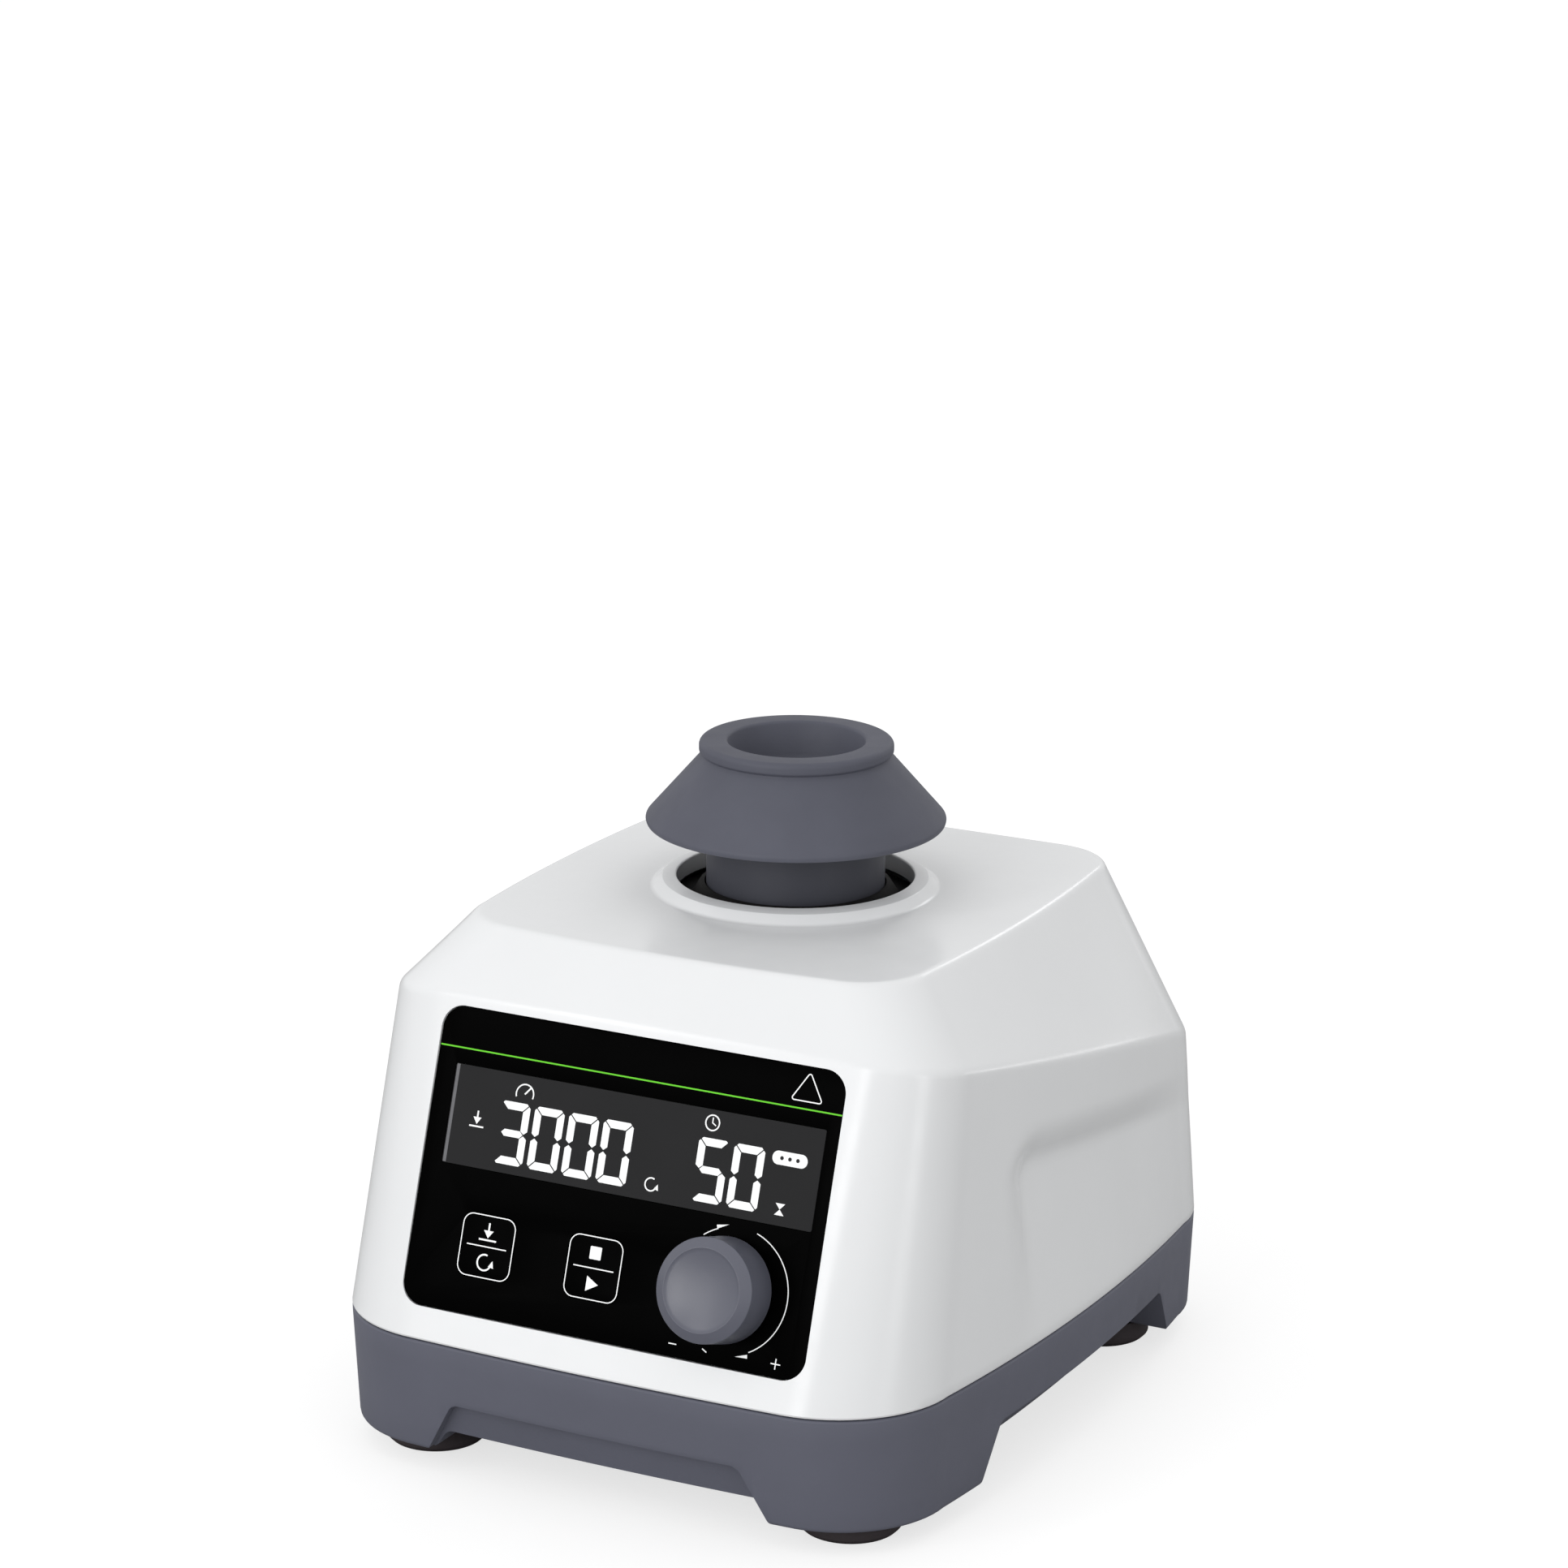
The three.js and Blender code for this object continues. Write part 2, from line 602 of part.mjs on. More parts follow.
function headAdapter() {
  const top = CUP_LOW - GAP;
  const shoulder = BEARING_HIGH + 0.5;
  return turned([
    [0, 86.2], [5.4, 86.2], [5.4, shoulder], [11.3, shoulder], [11.3, NECK_LOW],
    [NECK_R, NECK_LOW], [NECK_R, top], [8, top], [8, 108.2], [0, 108.2],
  ], 32);
}

function splashSkirt() {
  const inner = NECK_R + GAP;
  const lip = [[18.4, 89.6], [23.4, 89.3], [23.4, 90.3], [19, 90.7]];
  return turned([[inner, 91.3], [17.4, 91], ...lip, [17, 93.8], [inner, 94]], 32);
}

function rubberCup() {
  const low = CUP_LOW - 0.5;
  const edge = [[16.6, CUP_LOW], [17, low], [CUP_R - 0.4, low], [CUP_R, low + 0.4], [CUP_R, low + 1.1]];
  const groove = [[16.9, CUP_TOP - 2.6], [16.7, CUP_TOP - 2.2]];
  const rim = [[RIM_R, CUP_TOP - 1.7], [RIM_R, CUP_TOP - 0.8], [RIM_R - 0.8, CUP_TOP]];
  const bore = [[BORE_R + 0.6, CUP_TOP], [BORE_R, CUP_TOP - 0.6], [10.6, 113.4], [7.6, 111], [4, 110]];
  const spigot = [[0, 108.5], [8.3, 108.5], [8.3, CUP_LOW]];
  return turned([...spigot, ...edge, ...groove, ...rim, ...bore, [0, 110]], 36);
}

add(head, "bearing_inner_ring", sleeve(4.3, 6.3, BEARING_LOW, BEARING_HIGH, 24), STEEL());
add(head, "bearing_outer_ring", sleeve(9.2, 11, BEARING_LOW, BEARING_HIGH), STEEL());
add(head, "bearing_ball_cage", ballCage(), STEEL());
add(head, "head_adapter", headAdapter(), GREY_RUBBER());
add(head, "splash_skirt", splashSkirt(), BLACK_RUBBER());
add(head, "rubber_cup", rubberCup(), GREY_RUBBER());

// ---- Touch switch under the carriage ----
const LEVER = { x: -9, z: 53, y: 29, tipX: 9, tipZ: 58.6 };

function touchLever() {
  const outline = new THREE.Shape();
  outline.moveTo(LEVER.x - 1, LEVER.z - 0.6);
  outline.lineTo(LEVER.x + 1, LEVER.z - 0.6);
  outline.lineTo(LEVER.tipX, LEVER.tipZ - 0.8);
  outline.absarc(LEVER.tipX, LEVER.tipZ, 1, -Math.PI / 2, Math.PI / 2);
  outline.lineTo(LEVER.x - 1, LEVER.z + 0.6);
  return plate(outline, -2, 2).rotateX(Math.PI / 2).translate(0, LEVER.y, 0);
}

function switchBracket() {
  const foot = block(-9, 9, 32.3, 44, BALLAST_TOP + GAP, BALLAST_TOP + 1.8);
  return join(foot, block(-9, 9, 32.3, 33.8, BALLAST_TOP + GAP, 51));
}

add(assembly, "touch_switch", block(-10, 10, 26, 32, 42, 52), BLACK_PLASTIC());
add(assembly, "touch_switch_lever", touchLever(), STEEL());
add(assembly, "switch_bracket", switchBracket(), STEEL());

// ---- Control panel, in the frame of its own face ----
function panelOverlay() {
  const outline = roundedOutline(THREE.Shape, PANEL_X, PANEL_MID, PANEL_W, PANEL_H, PANEL_RADIUS);
  outline.holes.push(roundedOutline(THREE.Path, WINDOW.x, WINDOW.y, WINDOW.w, WINDOW.h, 0.4));
  for (const [x, y] of Object.values(KEYS)) {
    outline.holes.push(roundedOutline(THREE.Path, x, y, KEY_W + 0.5, KEY_H + 0.5, 2.2));
  }
  outline.holes.push(new THREE.Path().absarc(KNOB.x, KNOB.y, 4, 0, 2 * Math.PI));
  return plate(outline, -PANEL_THICK, 0);
}

function displayLens() {
  return roundedBlock(WINDOW.x, WINDOW.y, WINDOW.w - 0.4, WINDOW.h - 0.4, 0.4, -1.3, -0.05);
}

// A key: a cap flush with the panel, a lip that holds it behind the panel and a stem to its switch.
function key(x, y) {
  const cap = roundedBlock(x, y, KEY_W, KEY_H, 2, -PANEL_THICK - GAP - 0.5, 0.1);
  const lip = roundedBlock(x, y, KEY_W + 2, KEY_H + 2, 2.6, -PANEL_THICK - GAP - 0.9, -PANEL_THICK - GAP);
  return join(cap, lip, rod(1.7, -5, -2, x, y, 12));
}

function tactSwitch(x, y) {
  return block(x - 3, x + 3, y - 3, y + 3, BOARD_FRONT_Z + GAP, -5 - KEY_TRAVEL - 0.2);
}

function controlBoard() {
  const board = block(-33.5, 33.5, 12, 53, BOARD_FRONT_Z - 1.6, BOARD_FRONT_Z);
  const chip = block(-14, -4, 26, 36, BOARD_FRONT_Z - 3.2, BOARD_FRONT_Z - 1.5);
  const socket = block(8, 26, 44, 50, BOARD_FRONT_Z - 7, BOARD_FRONT_Z - 1.5);
  return join(board, chip, socket);
}

function encoderBody() {
  const box = block(KNOB.x - 6, KNOB.x + 6, KNOB.y - 6, KNOB.y + 6, BOARD_FRONT_Z + GAP, -4);
  const bush = rod(3.6, -4.5, 0.6, KNOB.x, KNOB.y);
  return cut(join(box, bush), rod(4.4, -12, -5.2, KNOB.x, KNOB.y), rod(2.7, -6, 4, KNOB.x, KNOB.y));
}

// A shaft with a collar that keeps it inside the encoder.
function encoderShaft() {
  return join(rod(3.6, -7.1, -6.2), rod(2.4, -7, KNOB.high - 3));
}

// The knob: turned, with a chamfered rim, a dished face and a blind bore for the encoder's shaft.
function knobCap() {
  const { r, low, high } = KNOB;
  const bore = 2.7;
  const skirt = 6.8;
  return turned(
    [
      [0, high - 2.6],
      [bore, high - 2.6],
      [bore, low + 2.4],
      [skirt, low + 2.4],
      [skirt, low],
      [r, low],
      [r, high - 1.2],
      [r - 1.2, high],
      [r - 2.2, high - 0.3],
      [0, high - 1.2],
    ],
    32,
  );
}

add(panel, "panel_overlay", panelOverlay(), BLACK_PANEL());
add(panel, "display_lens", displayLens(), DARK_LENS());
add(panel, "lcd_module", block(-33, 33, 29.5, 51.5, -8.6, -2.2), BLACK_PLASTIC());
add(panel, "control_board", controlBoard(), GREEN_BOARD());
for (const [name, [x, y]] of Object.entries(KEYS)) {
  add(panel, name, key(x, y), BLACK_PANEL());
  add(panel, name.replace("key", "switch"), tactSwitch(x, y), BLACK_PLASTIC());
}
add(panel, "encoder_body", encoderBody(), MOTOR_STEEL());
add(panel, "encoder_plunger", rod(4, -8.2, -7.4, KNOB.x, KNOB.y), BLACK_PLASTIC());
add(panel, "encoder_shaft", encoderShaft(), STEEL()).position.set(KNOB.x, KNOB.y, 0);
add(panel, "control_knob", knobCap(), GREY_BASE()).position.set(KNOB.x, KNOB.y, 0);

// ---- Rear wall: power socket, rocker switch and the driver board below them ----
function rockerFrame() {
  const { x, y, w, h } = ROCKER;
  const flange = roundedBlock(x, y, w + 3.4, h + 3.4, 1.5, GAP, 1.6);
  const shell = block(x - w / 2, x + w / 2, y - h / 2, y + h / 2, -12, 1);
  const opening = block(x - w / 2 + 1.2, x + w / 2 - 1.2, y - h / 2 + 1.2, y + h / 2 - 1.2, -9, 4);
  return cut(join(flange, shell), opening);
}

// The rocker's section is symmetric about its pivot, and it stands tipped to its on side.
function rockerButton() {
  const ends = { r: 7.9, high: THREE.MathUtils.degToRad(15), low: THREE.MathUtils.degToRad(-28) };
  const outline = new THREE.Shape();
  outline.moveTo(0, 0.9);
  outline.absarc(0, 0, ends.r, Math.PI - ends.high, Math.PI - ends.low);
  outline.lineTo(0, -5.4);
  outline.absarc(0, 0, ends.r, ends.low, ends.high);
  return plate(outline, -4.5, 4.5).rotateY(-Math.PI / 2).rotateX(Math.PI / 2);
}

function powerJack() {
  const { r } = JACK;
  const socket = [[2.8, 1.9], [2.8, -11], [0.9, -11], [0.9, -1], [0, -1]];
  return turned([[0, -13], [r, -13], [r, GAP], [5.8, GAP], [5.8, 1.4], [5.2, 1.9], ...socket], 16);
}

function driverBoard() {
  const board = block(-30, 30, 48, 64, 20, 21.6);
  const legPlaces = [[-26, 52], [26, 52], [-26, 57], [26, 57]];
  const legs = legPlaces.map(([x, y]) => rod(2, BASE_FLOOR_Z + GAP, 20.5, x, y, 12));
  const parts = [rod(4, 21, 31, -6, 56, 20), rod(4, 21, 31, 4, 56, 20), block(12, 24, 51, 60, 21, 27)];
  return join(board, ...legs, ...parts);
}

add(rear, "rocker_frame", rockerFrame(), BLACK_PLASTIC());
const rocker = add(rear, "power_rocker", rockerButton(), BLACK_PLASTIC());
rocker.position.set(ROCKER.x, ROCKER.y, 0.6);
rocker.rotation.x = -ROCKER_TIP;
add(rear, "power_jack", powerJack(), BLACK_PLASTIC()).position.set(JACK.x, JACK.y, 0);
add(assembly, "driver_board", driverBoard(), GREEN_BOARD());

export default mixer;
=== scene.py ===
"""Vortex mixer: the looks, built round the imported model. Shapes are in millimetres, meshes in metres."""
import json
import math

import bmesh
import bpy
import numpy as np
from mathutils import Matrix, Vector


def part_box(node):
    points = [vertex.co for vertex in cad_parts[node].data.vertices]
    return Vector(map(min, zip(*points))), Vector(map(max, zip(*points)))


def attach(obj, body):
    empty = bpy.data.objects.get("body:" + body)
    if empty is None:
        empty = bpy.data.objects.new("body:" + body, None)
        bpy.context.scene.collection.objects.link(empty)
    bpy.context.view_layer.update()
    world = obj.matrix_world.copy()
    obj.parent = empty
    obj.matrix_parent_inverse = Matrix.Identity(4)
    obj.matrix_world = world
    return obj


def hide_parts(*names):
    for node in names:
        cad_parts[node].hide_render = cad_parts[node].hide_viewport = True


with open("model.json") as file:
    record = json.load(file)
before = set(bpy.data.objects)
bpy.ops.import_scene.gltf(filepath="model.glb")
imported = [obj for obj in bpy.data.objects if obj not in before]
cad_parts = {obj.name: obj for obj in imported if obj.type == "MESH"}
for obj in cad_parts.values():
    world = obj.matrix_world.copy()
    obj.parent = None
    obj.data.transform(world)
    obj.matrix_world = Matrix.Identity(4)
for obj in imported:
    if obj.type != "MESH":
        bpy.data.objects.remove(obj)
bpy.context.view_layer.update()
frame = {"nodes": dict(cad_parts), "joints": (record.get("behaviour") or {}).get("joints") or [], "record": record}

MM = 0.001
JOINTS = {joint["name"]: joint for joint in frame["joints"]}


def middle(node):
    low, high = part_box(node)
    return (low + high) / 2 / MM


# ---- Driving dimensions, in millimetres ----
AXIS_Y = JOINTS["motor_spin"]["pos_m"][1] / MM
HEAD = [value / MM for value in JOINTS["head_orbit"]["pos_m"]]
SEAM = dict(front_half=57.1, rear_half=57.1, front=-74.6, rear=69.2, radius=22,
            bows=(0.8, 2.9, 0, 2.9), z_front=25.4, z_rear=22.4)
CREASE = dict(front_half=54.6, rear_half=56, front=-56, rear=60.1, radius=15,
              bows=(0.7, 1.7, 0, 1.7), z_front=81.9, z_rear=57.2)
PLATEAU = dict(front_half=43.3, rear_half=43.3, front=-46.9, rear=46.8, radius=12,
               bows=(1.7, 1.7, 0, 1.7), z_front=92.6, z_rear=92.6)
BOTTOM = dict(front_half=56.4, rear_half=56.4, front=-72.2, rear=67.3, radius=20,
              bows=(0.8, 2.9, 0, 2.9), z_front=4.2, z_rear=4.2)
COLLAR_FOOT_R = 28
HOLE_R = 21.2
HOLE_CEILING = 91.4
RELIEF_R = 26.4
CORNER_STEPS = 18
SIDE_STEPS = 56
SEAM_GAP = 0.3
ARCH_FRONT = (32.1, 3.8)
ARCH_SIDE = (38.8, 4.1)
ARCH_DEPTH = 3
SIDE_ARCH = dict(low=12, low_z=-2, high=1, high_z=17)
ARCH_TOP = 14.1
BELLY = 7.8
LEG_DROP = 9

PANEL_X = 0.5
PANEL_W = 78
PANEL_H = 52
PANEL_MID = 32.2
PANEL_RADIUS = 4
PANEL_THICK = 1.6
WINDOW = dict(x=1.1, y=39.75, w=72.2, h=17.6)
KEYS = {"mode_key": (-23.4, 18.2), "run_key": (-2.3, 18.2)}
KEY_W = 10.6
KEY_H = 11
KNOB = dict(x=23, y=19, z=4)
ROCKER = dict(x=-20, y=18, z=0.6)
JACK = dict(x=22, y=13)
SIGN_OUT = 4.3


# ---- Meshes ----
def new_object(name, vertices, faces, matrix=None):
    mesh = bpy.data.meshes.new(name)
    points = np.asarray(vertices, float)
    mesh.from_pydata((points * MM).tolist(), [], [list(face) for face in faces])
    if matrix is not None:
        mesh.transform(matrix)
    obj = bpy.data.objects.new(name, mesh)
    bpy.context.scene.collection.objects.link(obj)
    return obj


def tidy(obj, sharp_degrees=32):
    """Merges doubled points, turns faces outwards, and shades smooth except across sharp edges."""
    edit = bmesh.new()
    edit.from_mesh(obj.data)
    bmesh.ops.remove_doubles(edit, verts=edit.verts, dist=1e-7)
    bmesh.ops.dissolve_degenerate(edit, edges=edit.edges, dist=1e-7)
    bmesh.ops.recalc_face_normals(edit, faces=edit.faces)
    limit = math.radians(sharp_degrees)
    for face in edit.faces:
        face.smooth = True
    for edge in edit.edges:
        edge.smooth = len(edge.link_faces) == 2 and edge.calc_face_angle(0) < limit
    edit.to_mesh(obj.data)
    edit.free()
    return obj


def apply_modifiers(obj):
    graph = bpy.context.evaluated_depsgraph_get()
    done = bpy.data.meshes.new_from_object(obj.evaluated_get(graph))
    obj.modifiers.clear()
    old = obj.data
    obj.data = done
    bpy.data.meshes.remove(old)
    return obj


def combine(obj, others, operation):
    """Cuts the others out of obj, or joins them to it, and removes them."""
    for other in others:
        modifier = obj.modifiers.new("combine", "BOOLEAN")
        modifier.object = other
        modifier.operation = operation
        modifier.solver = "EXACT"
    bpy.context.view_layer.update()
    apply_modifiers(obj)
    for other in others:
        bpy.data.objects.remove(other)
    return obj


def bevel(obj, width, segments=2, angle=40):
    modifier = obj.modifiers.new("bevel", "BEVEL")
    modifier.width = width * MM
    modifier.segments = segments
    modifier.limit_method = "ANGLE"
    modifier.angle_limit = math.radians(angle)
    modifier.use_clamp_overlap = True
    bpy.context.view_layer.update()
    return apply_modifiers(obj)


def skin(name, rings, first_cap=False, last_cap=False, closed=False):
    """A mesh through rings of equally many points, closed on itself or with flat ends if asked."""
    count = len(rings[0])
    vertices = np.concatenate(rings)
    faces = []
    for row in range(len(rings) if closed else len(rings) - 1):
        low, high = row * count, (row + 1) % len(rings) * count
        for i in range(count):
            j = (i + 1) % count
            faces.append((low + i, low + j, high + j, high + i))
    if first_cap:
        faces.append(tuple(reversed(range(count))))
    if last_cap:
        faces.append(tuple(range(len(vertices) - count, len(vertices))))
    return new_object(name, vertices, faces)


def rounded(points, radii, steps=6, closed=False):
    """A polyline with its corners turned into arcs. A radius of 0 leaves a corner sharp."""
    path = [np.asarray(point, float) for point in points]
    result = []
    for i, point in enumerate(path):
        if radii[i] == 0 or (not closed and i in (0, len(path) - 1)):
            result.append(point)
            continue
        to_last = path[i - 1] - point
        to_next = path[(i + 1) % len(path)] - point
        last_length, next_length = np.linalg.norm(to_last), np.linalg.norm(to_next)
        to_last, to_next = to_last / last_length, to_next / next_length
        half = math.acos(np.clip(to_last @ to_next, -1, 1)) / 2
        reach = min(radii[i] / math.tan(half), 0.49 * last_length, 0.49 * next_length)
        radius = reach * math.tan(half)
        centre = point + (to_last + to_next) / np.linalg.norm(to_last + to_next) * radius / math.sin(half)
        start, end = point + to_last * reach - centre, point + to_next * reach - centre
        sweep = math.pi - 2 * half
        for k in range(steps + 1):
            share = k / steps
            weight = math.sin(sweep)
            if weight < 1e-6:
                result.append(centre + start)
                continue
            arc = (math.sin((1 - share) * sweep) * start + math.sin(share * sweep) * end) / weight
            result.append(centre + arc)
    return result


def lathe(name, profile, segments=96, centre=(0, 0, 0), matrix=None):
    """A turned piece about Z through centre. The profile is pairs of radius and height."""
    profile = [(max(r, 0), z) for r, z in profile]
    vertices, rows = [], []
    for r, z in profile:
        if r < 1e-6:
            rows.append([len(vertices)])
            vertices.append((0, 0, z))
            continue
        rows.append(list(range(len(vertices), len(vertices) + segments)))
        for k in range(segments):
            angle = 2 * math.pi * k / segments
            vertices.append((r * math.cos(angle), r * math.sin(angle), z))
    faces = []
    loop = profile[0][0] > 1e-6 and profile[-1][0] > 1e-6
    pairs = list(zip(rows, rows[1:])) + ([(rows[-1], rows[0])] if loop else [])
    for low, high in pairs:
        for k in range(segments):
            n = (k + 1) % segments
            corners = [low[k % len(low)], low[n % len(low)], high[n % len(high)], high[k % len(high)]]
            faces.append(tuple(dict.fromkeys(corners)))
    moved = np.asarray(vertices) + np.asarray(centre)
    return new_object(name, moved, faces, matrix)


def prism(name, outline, low, high, matrix=None):
    """A straight-sided solid over an outline in XY, from low to high."""
    count = len(outline)
    vertices = [(x, y, low) for x, y in outline] + [(x, y, high) for x, y in outline]
    faces = [tuple(reversed(range(count))), tuple(range(count, 2 * count))]
    faces += [(i, (i + 1) % count, count + (i + 1) % count, count + i) for i in range(count)]
    return new_object(name, vertices, faces, matrix)


def rectangle(x, y, w, h, radius, steps=8):
    left, right, low, high = x - w / 2, x + w / 2, y - h / 2, y + h / 2
    corners = [(left, low), (right, low), (right, high), (left, high)]
    return rounded(corners, [radius] * 4, steps, closed=True)


def circle(x, y, radius, steps=48):
    angles = [2 * math.pi * k / steps for k in range(steps)]
    return [(x + radius * math.cos(a), y + radius * math.sin(a)) for a in angles]


# ---- The housing's outlines ----
def outline(spec, sides=0.0, front=0.0, rear=0.0, lift=0.0):
    """A rounded rectangle with bowed sides, seen from above, moved inwards by sides, front and rear."""
    y_front, y_rear = spec["front"] + front, spec["rear"] - rear
    radius = max(spec["radius"] - sides, 3)

    def along(y, a, b):
        return a + (b - a) * (y - y_front) / (y_rear - y_front)

    corners = [(1, y_front + radius, -90), (1, y_rear - radius, 0),
               (-1, y_rear - radius, 90), (-1, y_front + radius, 180)]
    bows = (spec["bows"][1], spec["bows"][2], spec["bows"][3], spec["bows"][0])
    arcs = []
    for side, y, start in corners:
        half = along(y, spec["front_half"] - sides, spec["rear_half"] - sides)
        angles = np.radians(start + np.linspace(0, 90, CORNER_STEPS + 1))
        x = side * (half - radius) + radius * np.cos(angles)
        arcs.append(np.stack([x, y + radius * np.sin(angles)], axis=1))
    points = []
    for i, arc in enumerate(arcs):
        points.append(arc)
        begin, end = arc[-1], arcs[(i + 1) % 4][0]
        outward = np.array([end[1] - begin[1], begin[0] - end[0]])
        outward /= np.linalg.norm(outward)
        t = (np.arange(1, SIDE_STEPS) / SIDE_STEPS)[:, None]
        points.append(begin + (end - begin) * t + outward * bows[i] * 4 * t * (1 - t))
    flat = np.concatenate(points)
    z = along(flat[:, 1], spec["z_front"], spec["z_rear"]) + lift
    return np.stack([flat[:, 0], flat[:, 1] + AXIS_Y, z], axis=1)


def between(low, high, shares):
    return [low + (high - low) * share for share in shares]


def bend(before, corner, after, reach, steps=5):
    """Rings round a soft edge: a curve from reach before the corner to reach after it."""
    into = before - corner
    out = after - corner
    start = corner + into / np.linalg.norm(into, axis=1)[:, None] * reach
    end = corner + out / np.linalg.norm(out, axis=1)[:, None] * reach
    rings = []
    for share in np.linspace(0, 1, steps + 1):
        rings.append(start * (1 - share) ** 2 + corner * 2 * share * (1 - share) + end * share ** 2)
    return rings


def circle_ring(guide, radius, z):
    """A ring of a circle round the motor's axis, each point in its guide point's direction."""
    angle = np.arctan2(guide[:, 1] - AXIS_Y, guide[:, 0])
    x = radius * np.cos(angle)
    y = AXIS_Y + radius * np.sin(angle)
    return np.stack([x, y, np.full(len(guide), float(z))], axis=1)


# ---- Frames of the tilted walls ----
def wall_matrix(across, up, out, origin):
    matrix = Matrix((across, up, out)).transposed().to_4x4()
    matrix.translation = origin
    return matrix


def panel_matrix():
    """The panel's own frame: x to the right, y up the panel, z out of it."""
    out = Vector(JOINTS["knob_turn"]["axis"]).normalized()
    across = Vector((1, 0, 0))
    up = out.cross(across)
    knob = Vector(JOINTS["knob_turn"]["pos_m"])
    origin = knob - (across * KNOB["x"] + up * KNOB["y"] + out * KNOB["z"]) * MM
    return wall_matrix(across, up, out, origin)


def rear_matrix():
    """The rear wall's own frame: x to the left seen from the front, y up the wall, z out of it."""
    rise = Vector((0, CREASE["rear"] - SEAM["rear"], CREASE["z_rear"] - SEAM["z_rear"]))
    up = rise.normalized()
    across = Vector((-1, 0, 0))
    out = across.cross(up)
    pivot = Vector(JOINTS["rocker_tip"]["pos_m"])
    origin = pivot - (across * ROCKER["x"] + up * ROCKER["y"] + out * ROCKER["z"]) * MM
    return wall_matrix(across, up, out, origin)


PANEL = panel_matrix()
REAR = rear_matrix()


def local(matrix, x, y, z=0.0):
    """A matrix with its origin moved to a point of a wall's frame."""
    return matrix @ Matrix.Translation(Vector((x, y, z)) * MM)


# ---- Materials ----
class Nodes:
    """Builds one material's node tree around a Principled shader."""

    def __init__(self, name):
        self.material = bpy.data.materials.new(name)
        self.material.use_nodes = True
        self.tree = self.material.node_tree
        self.shader = self.tree.nodes["Principled BSDF"]
        coordinates = self.tree.nodes.new("ShaderNodeTexCoord")
        self.place = coordinates.outputs["Object"]

    def link(self, source, target):
        self.tree.links.new(source, target)

    def set(self, **values):
        for name, value in values.items():
            self.shader.inputs[name.replace("_", " ")].default_value = value
        return self

    def stretched(self, scale):
        mapping = self.tree.nodes.new("ShaderNodeMapping")
        mapping.inputs["Scale"].default_value = scale
        self.link(self.place, mapping.inputs["Vector"])
        return mapping.outputs["Vector"]

    def noise(self, size, detail=2.0, vector=None):
        """Noise whose features are about size millimetres across."""
        node = self.tree.nodes.new("ShaderNodeTexNoise")
        node.inputs["Scale"].default_value = 1 / (size * MM)
        node.inputs["Detail"].default_value = detail
        self.link(vector or self.place, node.inputs["Vector"])
        return node.outputs["Fac"]

    def span(self, source, low, high, from_low=0.3, from_high=0.7):
        node = self.tree.nodes.new("ShaderNodeMapRange")
        node.inputs["From Min"].default_value = from_low
        node.inputs["From Max"].default_value = from_high
        node.inputs["To Min"].default_value = low
        node.inputs["To Max"].default_value = high
        self.link(source, node.inputs["Value"])
        return node.outputs["Result"]

    def tones(self, source, dark, light):
        node = self.tree.nodes.new("ShaderNodeValToRGB")
        node.color_ramp.elements[0].position = 0.3
        node.color_ramp.elements[1].position = 0.7
        node.color_ramp.elements[0].color = (*dark, 1)
        node.color_ramp.elements[1].color = (*light, 1)
        self.link(source, node.inputs["Fac"])
        self.link(node.outputs["Color"], self.shader.inputs["Base Color"])

    def rough(self, source, low, high):
        self.link(self.span(source, low, high), self.shader.inputs["Roughness"])

    def bump(self, source, depth):
        """Relief of about depth millimetres."""
        node = self.tree.nodes.new("ShaderNodeBump")
        node.inputs["Strength"].default_value = 1.0
        node.inputs["Distance"].default_value = depth * MM
        self.link(source, node.inputs["Height"])
        previous = self.shader.inputs["Normal"].links
        if previous:
            self.link(previous[0].from_socket, node.inputs["Normal"])
        self.link(node.outputs["Normal"], self.shader.inputs["Normal"])


def shade(tone, factor):
    return tuple(min(1.0, channel * factor) for channel in tone)


def moulded(name, tone, rough, grain, relief, specular=0.5, spread=0.03, coat=0.0):
    """Moulded plastic or rubber: a fine grain in relief, faint cloudiness in its tone and its gloss."""
    nodes = Nodes(name).set(Specular_IOR_Level=specular, Coat_Weight=coat, Coat_Roughness=0.2)
    clouds = nodes.noise(14, detail=4)
    nodes.tones(clouds, shade(tone, 1 - spread), shade(tone, 1 + spread))
    nodes.rough(nodes.noise(5, detail=3), rough - 0.03, rough + 0.04)
    nodes.bump(nodes.noise(grain, detail=2), relief)
    return nodes.material


def brushed(name, tone, rough):
    """Metal with fine lines along one direction and a slightly uneven shine."""
    nodes = Nodes(name).set(Metallic=1.0)
    lines = nodes.noise(0.25, detail=3, vector=nodes.stretched((1, 1, 1 / 12)))
    nodes.tones(nodes.noise(3, detail=3), shade(tone, 0.92), shade(tone, 1.06))
    nodes.rough(lines, rough - 0.06, rough + 0.08)
    nodes.bump(lines, 0.004)
    return nodes.material


